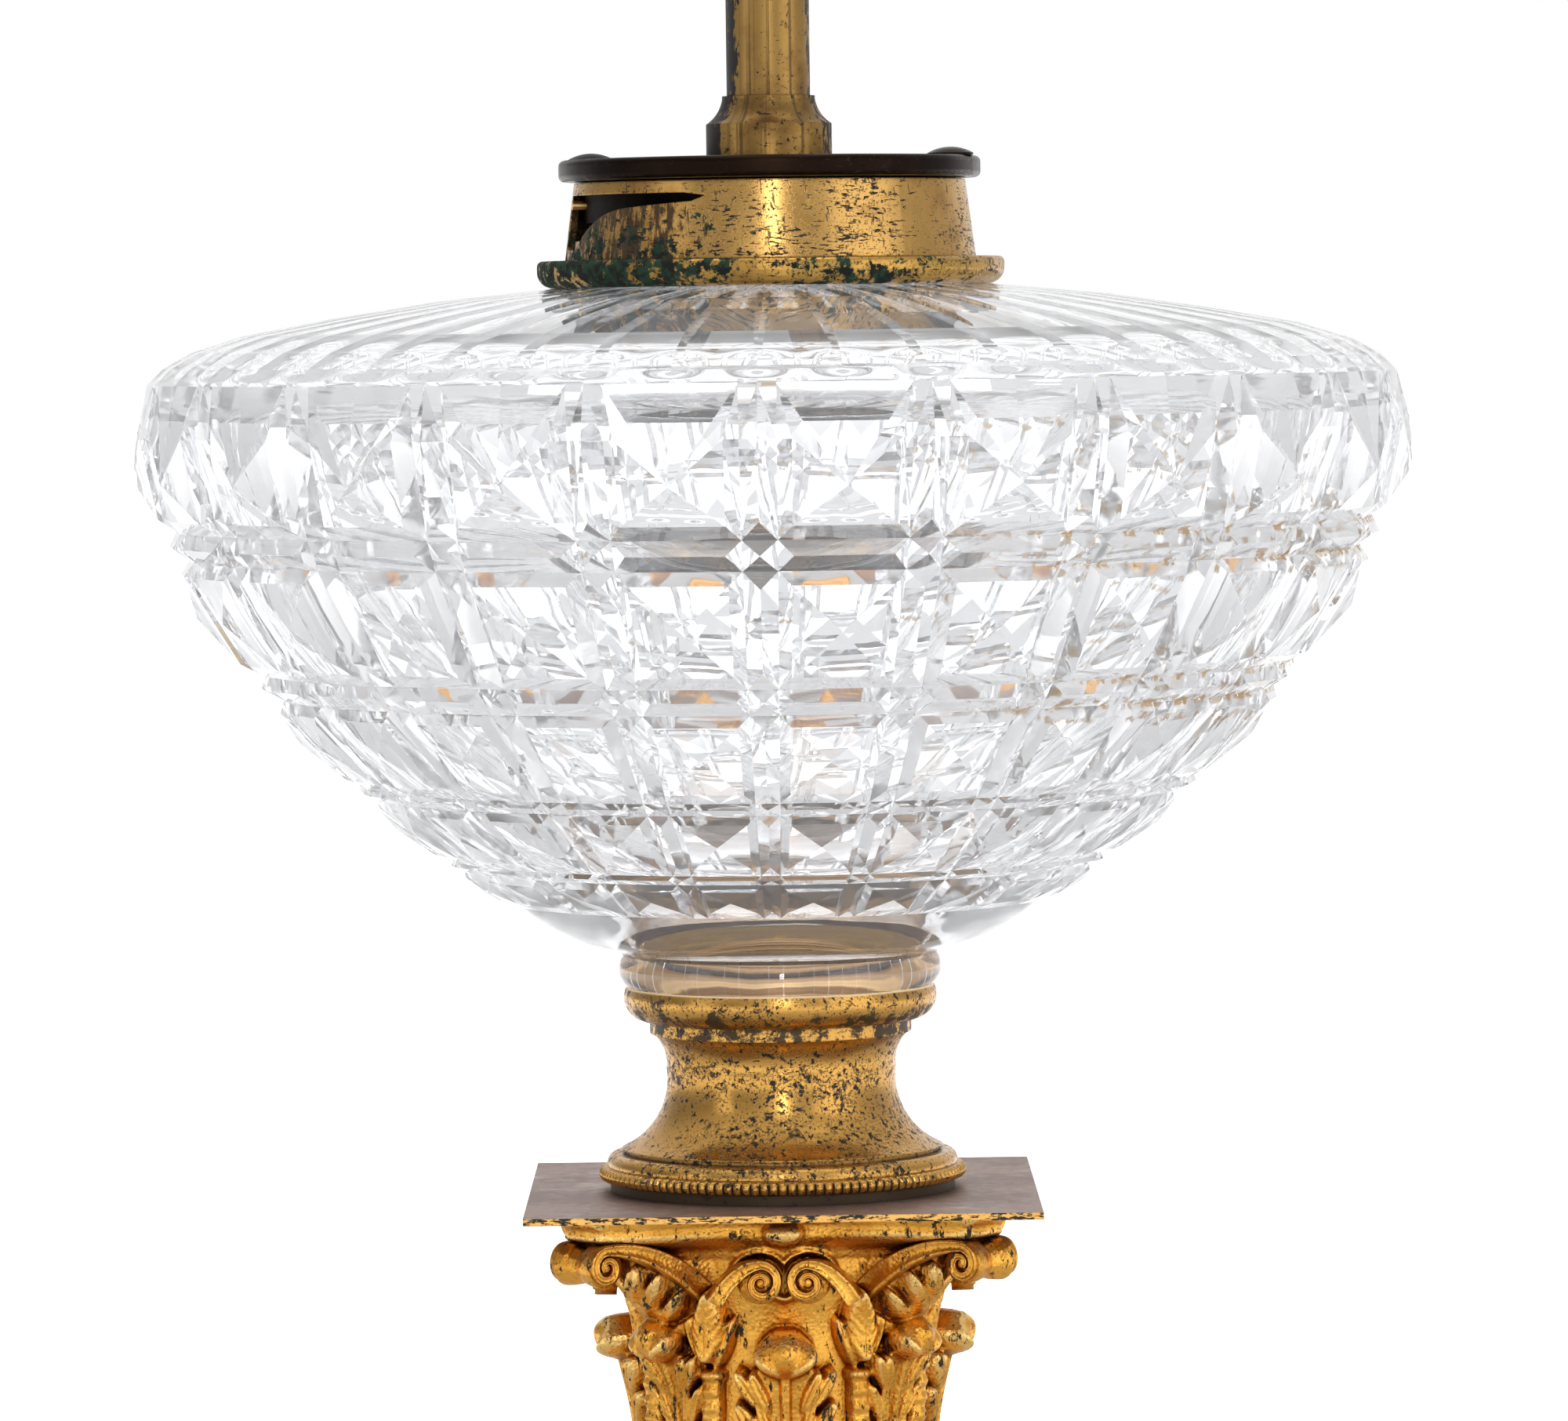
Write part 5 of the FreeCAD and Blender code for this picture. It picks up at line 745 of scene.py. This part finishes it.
def budding_stalk(x, t):
    """Height of a ringed stalk with its knop, its bud and the two leaves that hold it."""
    off = x + STALK_OFFSET
    ringed = 1.0 + 0.16*np.sin(t*2.4)
    shown = (t < STALK_TOP) & (np.abs(off) < STALK_HALF_WIDTH)
    stalk = np.where(shown, 1.6*back(off, STALK_HALF_WIDTH)*ringed + 1.1, 0)
    knop = 3.3*back(np.hypot(off/2.0, (t - KNOP_HEIGHT)/1.35), 1.0)
    up = (t - BUD_FOOT)/BUD_RISE
    half = 2.4*np.clip(np.sin(math.pi*np.clip(up, 0.0, 1)**0.80), 0, 1)**0.66 + 1e-6
    shown = (up > 0) & (up < 1) & (np.abs(off) < half)
    bud = np.where(shown, 1.6 + 2.9*back(off, half), 0)
    veins = ridge(((up*6.5 - np.abs(off)*1.1) % 1.0) - 0.5, 0.18)
    veined = bud - 0.5*ridge(off, 0.25) - 0.35*veins*step(np.abs(off), 0.3, 0.7)
    bud = np.where(bud > 0, veined, 0)
    cup = [leaflet(x, t, *leaf) for leaf in CUP_LEAVES]
    return np.maximum.reduce([stalk, knop, bud, *cup])


def abacus_radius(side):
    """Radius of a plate with hollow sides and cut corners."""
    slope = np.radians(side)
    bend = 7.1/841*np.sin(slope)**2 + 1e-9
    hollow = (np.cos(slope) - np.sqrt(np.cos(slope)**2 - 4*bend*ABACUS_WAIST))/(2*bend)
    return np.minimum(hollow, ABACUS_CORNER/np.cos(np.radians(45 - side)))


def capital_radius(turn, t):
    """Radius of the capital at an angle in degrees from the middle of a side, and at a height."""
    side = np.abs(turn)
    bell = 21.2 + 1.0*step(t, -50, -25) + 2.6*step(t, -20, -8)
    base = bell + 8.6*step(side, 25, 45)*step(t, -25, -8.5)
    x = -base*np.sin(np.radians(side))
    # a raised border round the helices, their discs, and the saddle that joins them
    off = np.hypot(x + HELIX_OFFSET, t - HELIX_HEIGHT)
    border = 1.7*ridge(off - 4.5, 0.4)*step(t, -12.5, -9.5) + np.where(off < 3.0, 1.6, 0)
    saddle = 1.5*ridge(t + 13.6 - 0.35*np.abs(x), 0.55)*step(-side, -8, -4)
    leaves = [leaflet(x, t, *leaf) for leaf in FOLIAGE]
    radius = base + np.maximum.reduce([0*t, budding_stalk(x, t), *leaves, border, saddle])
    for height in (
        acanthus(bell*np.sin(np.radians(turn)), t, AXIAL_TIP, 1.0, 2.6, 4.9),
        acanthus(29.0*np.radians(side - 45), t, CORNER_TIP, 0.92, 4.4, 5.2),
        acanthus(26.0*np.radians(side - 22.5), t, LOWER_TIP, 0.88, 2.2, 5.0),
    ):
        radius = np.maximum(radius, np.where(height > 0, bell + height, 0))
    abacus = abacus_radius(side)
    under = (base + 0.6) + (abacus - 1.6 - base)*step(t, UNDERSIDE_FOOT, -3.2)**1.8
    radius = np.where(t > UNDERSIDE_FOOT, np.maximum(radius, under), radius)
    radius = np.where(t > ABACUS_FOOT, abacus - 1.2*step(t, -1.0, -1.7), radius)
    flower = np.hypot(turn*0.48/FLEURON_HALF_WIDTH, (t + 3.0)/1.9)
    fleuron = FLEURON_HALF_WIDTH*back(flower, 1.0)**0.7
    return np.maximum(radius, np.where(fleuron > 0, FLEURON_OUT + fleuron, 0))


def blurred(grid, times):
    """The grid averaged with its neighbours, mirrored at the edges between sides."""
    for _ in range(times):
        wide = np.pad(grid, 1, mode="edge")
        grid = (wide[:-2, 1:-1] + wide[2:, 1:-1] + wide[1:-1, :-2] + wide[1:-1, 2:] + 2*grid)/6
    return grid


def carved_capital():
    """The bell with its leaves, buds, foliage and abacus, as one skin."""
    columns, rows = 210, 170
    levels = -CAPITAL_RISE*(1 - np.linspace(0, 1, rows))**0.86
    t, turn = np.meshgrid(levels, np.linspace(-45, 45, columns + 1))
    radius = blurred(capital_radius(turn, t), 1)
    # relief over its blurred surroundings, which the gilding turns into painted highlight and painted shade
    proud = (radius - blurred(radius, 22))[:-1]
    about = np.concatenate([np.radians(turn[:-1]) + quarter*math.pi/2 for quarter in range(4)])
    radius, t, proud = (np.tile(grid, (4, 1)) for grid in (radius[:-1], t[:-1], proud))
    places = turned_places(radius, about, t)*MM
    places[..., 2] += CAPITAL_TOP
    index = np.arange(radius.size).reshape(radius.shape)
    ahead = np.roll(index, -1, axis=0)
    faces = np.stack([index[:, :-1], ahead[:, :-1], ahead[:, 1:], index[:, 1:]], axis=-1)
    faces = faces.reshape(-1, 4).tolist()
    places = places.reshape(-1, 3).tolist()
    marks = proud.reshape(-1).tolist()
    for level, first, second in ((0, ahead, index), (rows - 1, index, ahead)):
        hub = len(places)
        places.append((0.0, 0.0, CAPITAL_TOP + levels[level]*MM))
        marks.append(0.0)
        faces += [(hub, a, b) for a, b in zip(first[:, level].tolist(), second[:, level].tolist())]
    return add_mesh("capital_carving", places, faces, {"proud": marks})


# places of a band's section: shares of its half width across, and of its height out from its plane
BAND_SECTION = (
    (-1, -1), (-1, 0.55), (-0.86, 0.95), (-0.66, 0.95), (-0.45, 0.70), (0, 0.62),
    (0.45, 0.70), (0.66, 0.95), (0.86, 0.95), (1, 0.55), (1, -1),
)
BAND_HEIGHT = 0.9
BAND_STALK_STEPS = 18
BAND_SCROLL_STEPS = 46
DRUM_STEPS = 9
DRUM_SIDES = 40

# eye across, eye out from the axis, eye below the top, turn in degrees, radius, run and drop of the stalk,
# half widths of the band at its foot and its crown, depth, share that the waist takes in, and hand
SCROLLS = (
    (27.3, 33.4, 7.3, -38.0, 3.45, 19.6, 5.8, (1.75, 0.80), 5.6, 0.36, 1),
    (3.6, 27.8, 10.6, -8.0, 3.55, 7.3, 3.0, (1.3, 0.70), 3.6, 0.0, -1),
)


def band_path(radius, run, drop, stalk_half, band_half):
    """Line and half widths of a band that rises from a stalk, arches over and winds into its eye."""
    line, widths = [], []
    crown = radius - band_half
    for i in range(BAND_STALK_STEPS):
        share = i/BAND_STALK_STEPS
        a, b, c = (1 - share)**2, 2*share*(1 - share), share*share
        line.append((-run*a - 0.52*run*b, -drop*a + crown*(b + c)))
        widths.append(stalk_half + (band_half - stalk_half)*share**1.7)
    for i in range(BAND_SCROLL_STEPS + 1):
        share = i/BAND_SCROLL_STEPS
        angle = math.pi/2 - 2*math.pi*EYE_TURNS*share
        out = crown*(1 - share) + 0.17*radius*share
        line.append((out*math.cos(angle), out*math.sin(angle)))
        widths.append(band_half*(1 - 0.5*share))
    return np.array(line), np.array(widths)


def band_faces(line, widths, depth):
    """A band with raised edges and a hollow face: places across, up and out from its plane."""
    along = np.gradient(line, axis=0)
    along /= np.linalg.norm(along, axis=1)[:, None]
    across = np.stack([-along[:, 1], along[:, 0]], axis=1)
    places, proud = [], []
    for (x, y), side, half in zip(line, across, widths):
        for over, out in BAND_SECTION:
            rise = -depth if out < 0 else BAND_HEIGHT*out
            places.append((x + side[0]*half*over, y + side[1]*half*over, rise))
            # how proud each point of the section counts, given for the gilding's painted highlight and
            # painted shade
            proud.append(0.5 if out > 0.9 else (-0.1 if out > 0.6 else -0.5))
    count = len(BAND_SECTION)
    faces = []
    for i in range(len(line) - 1):
        for k in range(count):
            m = (k + 1) % count
            faces.append((i*count + k, i*count + m, (i + 1)*count + m, (i + 1)*count + k))
    faces.append(tuple(range(count))[::-1])
    last = (len(line) - 1)*count
    faces.append(tuple(range(last, last + count)))
    return places, faces, proud


def drum_faces(radius, depth, waist):
    """The solid body behind a scroll: a drum with a waist, and a domed eye on its recessed face."""
    eye = BAND_HEIGHT
    profile = [(0.0, 0.75*eye), (0.16*radius, 0.62*eye), (0.24*radius, 0.12*eye), (0.3*radius, 0.0),
               (radius*0.97, 0.0), (radius, -0.3)]
    for i in range(1, DRUM_STEPS + 1):
        share = i/DRUM_STEPS
        profile.append((radius*(1 - waist*share*share), -0.3 - (depth - 0.3)*share))
    profile.append((0.0, -depth))
    places, faces, proud = [], [], []
    for out, up in profile:
        for i in range(DRUM_SIDES):
            angle = 2*math.pi*i/DRUM_SIDES
            places.append((out*math.cos(angle), out*math.sin(angle), up))
            # how proud each ring of the drum counts, given for the gilding's painted highlight and painted
            # shade
            proud.append(0.4 if up > 0.4*eye else (-0.45 if up > -0.1 else 0.15))
    for row in range(len(profile) - 1):
        low, high = row*DRUM_SIDES, (row + 1)*DRUM_SIDES
        for i in range(DRUM_SIDES):
            j = (i + 1) % DRUM_SIDES
            faces.append((low + i, high + i, high + j, low + j))
    return places, faces, proud


def capital_scrolls():
    """Volutes and helices of the four sides."""
    all_places, all_faces, all_proud = [], [], []
    for offset, out, drop, turn, radius, run, stalk_drop, halves, depth, waist, hand in SCROLLS:
        line, widths = band_path(radius, run, stalk_drop, *halves)
        parts = [band_faces(line, widths, min(depth, 2.6)), drum_faces(radius*0.93, depth, waist)]
        plane = math.radians(turn)
        axes = np.array((
            (math.cos(plane), math.sin(plane), 0),
            (0, 0, 1),
            (math.sin(plane), -math.cos(plane), 0),
        ))
        for places, faces, proud in parts:
            local = np.array(places)
            local[:, 0] *= hand
            world = local[:, :1]*axes[0] + local[:, 1:2]*axes[1] + local[:, 2:]*axes[2]
            world += np.array((offset, -out, -drop))
            for mirror in (1, -1):
                mirrored = world*np.array((mirror, 1, 1))
                way = -1 if hand*mirror < 0 else 1
                for quarter in range(4):
                    c, s = round(math.cos(quarter*math.pi/2)), round(math.sin(quarter*math.pi/2))
                    placed = mirrored @ np.array(((c, s, 0), (-s, c, 0), (0, 0, 1)))
                    start = len(all_places)
                    all_places += (placed*MM + np.array((0, 0, CAPITAL_TOP))).tolist()
                    all_proud += proud
                    all_faces += [[start + corner for corner in face][::way] for face in faces]
    return add_mesh("capital_scrolls", all_places, all_faces, {"proud": all_proud})


carving = carved_capital()
scrolls = capital_scrolls()
for piece in (carving, scrolls):
    piece.data.materials.append(carved_gilt)
    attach(piece, "lamp")
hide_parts("capital")

# ---------------------------------------------------------------- fluted shaft

SHAFT_FLUTES = 24
SHAFT_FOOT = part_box("column_shaft")[0].z
SHAFT_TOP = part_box("column_shaft")[1].z
SHAFT_BORE = 15.5
SHAFT_LOW_RADIUS = 23.5
SHAFT_HIGH_RADIUS = 19.7
SHAFT_FLARE = 1.8
FLARE_RISE = 5.0
ASTRAGAL_RISE = 3.0
FLUTE_MARGIN = 8.0
# shares of a flute's pitch and of its radius: its width, and how far its middle lies outside the shaft
FLUTE_WIDTH_SHARE = 0.78
FLUTE_LIFT_SHARE = 0.42
FLUTE_END = 4.0
STEPS_PER_FLUTE = 20


def shaft_section():
    """Heights and radii up the outside of the shaft, from bore to bore, and the ends of its flutes."""
    rise = (SHAFT_TOP - SHAFT_FOOT)/MM
    neck = rise - ASTRAGAL_RISE
    slope = (SHAFT_LOW_RADIUS - SHAFT_HIGH_RADIUS)/(neck - FLARE_RISE)
    low_end, high_end = FLARE_RISE + FLUTE_MARGIN, neck - FLUTE_MARGIN
    rows = [(0.0, SHAFT_BORE), (0.0, SHAFT_LOW_RADIUS + SHAFT_FLARE)]
    for share in np.linspace(0, 1, 9)[1:]:
        rows.append((FLARE_RISE*share, SHAFT_LOW_RADIUS + SHAFT_FLARE*(1 - share)**2.6))
    low_rows = np.linspace(low_end - FLUTE_END, low_end + 0.5, 13)
    high_rows = np.linspace(high_end - 0.5, high_end + FLUTE_END, 13)
    for height in (*low_rows, *np.linspace(low_end + 4, high_end - 4, 24), *high_rows, neck):
        rows.append((height, SHAFT_LOW_RADIUS - slope*(height - FLARE_RISE)))
    for share in np.linspace(0, 1, 11):
        swell = 0.25 + 0.5*math.sin(math.pi*share)
        rows.append((neck + ASTRAGAL_RISE*share, SHAFT_HIGH_RADIUS + ASTRAGAL_RISE*swell))
    rows.append((rise, SHAFT_BORE))
    return np.array(rows), low_end, high_end


def fluted_shaft():
    """Tapered shaft with round-ended flutes, a flared foot and an astragal at its top."""
    rows, low_end, high_end = shaft_section()
    around = SHAFT_FLUTES*STEPS_PER_FLUTE
    turn = np.arange(around)*2*math.pi/around
    pitch = 2*math.pi/SHAFT_FLUTES
    height, off = np.meshgrid(rows[:, 0], (turn + pitch/2) % pitch - pitch/2)
    radius = np.broadcast_to(rows[:, 1], height.shape)
    half = radius*math.pi/SHAFT_FLUTES*FLUTE_WIDTH_SHARE
    beyond = np.maximum(np.maximum(low_end - height, height - high_end), 0)
    across = np.hypot(radius*off, beyond)/half
    depth = half*np.clip(np.sqrt(np.clip(1 - across**2, 0, 1)) - FLUTE_LIFT_SHARE, 0, 1)
    cut = np.where(radius > SHAFT_BORE + 1, depth, 0)
    places = turned_places((radius - cut)*MM, turn[:, None], height*MM + SHAFT_FOOT).reshape(-1, 3).tolist()
    # lands count as proud and flute floors as sunk, for the gilding's painted highlight and painted shade
    proud = np.where(cut > 0, 0.1 - 0.9*cut, 0.55).reshape(-1)
    return add_mesh("fluted_shaft", places, ring_faces(around, len(rows)), {"proud": proud})


shaft = fluted_shaft()
shaft.data.set_sharp_from_angle(angle=math.radians(35))
shaft.data.materials.append(carved_gilt)
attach(shaft, "lamp")
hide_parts("column_shaft")

# ---------------------------------------------------------------- beaded rim

RIM_RADIUS = 28.8
RIM_RISE = 3.9
RIM_FOOT_RISE = 1.6
RIM_RECESS_RADIUS = 27.0
RIM_BORE = 22.0
BEAD_DEPTH = 0.62
STEPS_PER_BEAD = 8


def beaded_rim():
    """Rim of upright beads on a recessed foot."""
    swell = (RIM_RISE - RIM_FOOT_RISE)/2
    # height, radius, and how fully the gaps between the beads are cut there
    rows = [(0.0, RIM_BORE, 0), (0.0, RIM_RECESS_RADIUS, 0), (RIM_FOOT_RISE, RIM_RECESS_RADIUS, 0)]
    for share in np.linspace(-1, 1, 13):
        bulge = math.sqrt(1 - share*share)
        rows.append((RIM_FOOT_RISE + swell*(1 + share), RIM_RADIUS - swell*(1 - bulge), bulge**0.5))
    rows.append((RIM_RISE, RIM_BORE, 0))
    rows = np.array(rows)
    around = BEADS*STEPS_PER_BEAD
    turn = np.arange(around)*2*math.pi/around
    gap = 1 - np.sqrt(np.clip(1 - np.abs(np.sin(turn*BEADS/2))**2.6, 0, 1))
    height, gap = np.meshgrid(rows[:, 0], gap)
    out = (rows[:, 1] - BEAD_DEPTH*gap*rows[:, 2])*MM
    places = turned_places(out, turn[:, None], height*MM + RIM_FOOT).reshape(-1, 3).tolist()
    return add_mesh("beaded_rim", places, ring_faces(around, len(rows)))


rim = beaded_rim()
rim.data.set_sharp_from_angle(angle=math.radians(50))
rim.data.materials.append(brass_beads)
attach(rim, "lamp")
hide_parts("gadroon_rim")

# ---------------------------------------------------------------- studio


WORLD_FRONT, WORLD_BEHIND, WORLD_LEFT, WORLD_RIGHT, WORLD_ABOVE = 0.47, 0.95, 0.30, 0.52, 0.78


def studio_world():
    """White behind, softer grey at the sides and over the camera, and lighter through the glass."""
    world = bpy.data.worlds.new("studio")
    bpy.context.scene.world = world
    g = Graph(world)
    x, y, z = g.split(g.node("TexCoord").outputs["Generated"])
    level = g.blend(g.ramp(y, -0.35, 0.95), WORLD_FRONT, WORLD_BEHIND)
    level = g.blend(g.ramp(x, -0.25, -0.85), level, WORLD_LEFT)
    level = g.blend(g.ramp(x, 0.55, 0.95), level, WORLD_RIGHT)
    level = g.blend(g.ramp(z, 0.25, 0.80), level, WORLD_ABOVE)
    rays = g.node("LightPath")
    passed = g.math("MULTIPLY_ADD", level, 0.38, 0.42)
    level = g.blend(rays.outputs["Is Transmission Ray"], level, passed)
    background = g.node("Background")
    background.inputs[0].default_value = (1, 1, 1, 1)
    g.feed(background.inputs[1], g.blend(rays.outputs["Is Camera Ray"], level, 1.0))
    target = g.node("OutputWorld")
    g.links.new(background.outputs[0], target.inputs[0])


# name, place, point that it looks at, width, height and power
SOFTBOXES = (
    ("key", (0.05, -2.3, 1.15), (0, 0, 0.45), 0.13, 1.5, 9),
    ("fill_left", (-2.1, -1.2, 1.0), (0, 0, 0.45), 0.7, 1.3, 3),
    ("fill_right", (2.0, -1.4, 1.1), (0, 0, 0.45), 1.8, 1.6, 10),
    ("top", (0.0, 0.0, 2.4), (0, 0, 0.3), 1.4, 1.2, 10),
)


def softbox(name, place, aim, width, height, power):
    """A rectangular soft light that looks at a point."""
    data = bpy.data.lights.new(name, "AREA")
    data.shape = "RECTANGLE"
    data.size = width
    data.size_y = height
    data.energy = power
    made = bpy.data.objects.new(name, data)
    bpy.context.scene.collection.objects.link(made)
    made.location = place
    made.rotation_euler = (Vector(aim) - Vector(place)).to_track_quat("-Z", "Y").to_euler()


FLOOR_RINGS = (0.3, 0.8, 2.0, 5.0, 14.0, 40.0)
FLOOR_SIDES = 96


def studio_floor():
    """A wide pale floor, brighter far out, where it goes over into the white behind."""
    mesh = bpy.data.meshes.new("floor")
    shape = bmesh.new()
    turns = [2*math.pi*i/FLOOR_SIDES for i in range(FLOOR_SIDES)]
    hub = shape.verts.new((0, 0, 0))
    last = None
    for radius in FLOOR_RINGS:
        ring = [shape.verts.new((radius*math.cos(turn), radius*math.sin(turn), 0)) for turn in turns]
        for i in range(FLOOR_SIDES):
            j = (i + 1) % FLOOR_SIDES
            if last is None:
                shape.faces.new((hub, ring[i], ring[j]))
            else:
                shape.faces.new((last[i], ring[i], ring[j], last[j]))
        last = ring
    shape.to_mesh(mesh)
    shape.free()
    made = bpy.data.objects.new("floor", mesh)
    bpy.context.scene.collection.objects.link(made)
    look, g = material("pale_floor")
    place = g.place()
    x, y, _ = g.split(place)
    far = g.ramp(g.out(x, y), 0.4, 2.2)
    tone = g.noise(place, 3, 3, 0.5)
    near_tone = g.mix(tone, (0.60, 0.60, 0.60), (0.64, 0.64, 0.64))
    g.surface(
        Base_Color=g.mix(far, near_tone, (0.92, 0.92, 0.92)),
        Roughness=0.85,
        Emission_Color=(1, 1, 1),
        Emission_Strength=g.times(far, 0.75),
    )
    mesh.materials.append(look)


studio_world()
studio_floor()
for row in SOFTBOXES:
    softbox(*row)

cycles = bpy.context.scene.cycles
cycles.max_bounces = 28
cycles.transmission_bounces = 28
cycles.diffuse_bounces = 3
cycles.glossy_bounces = 12
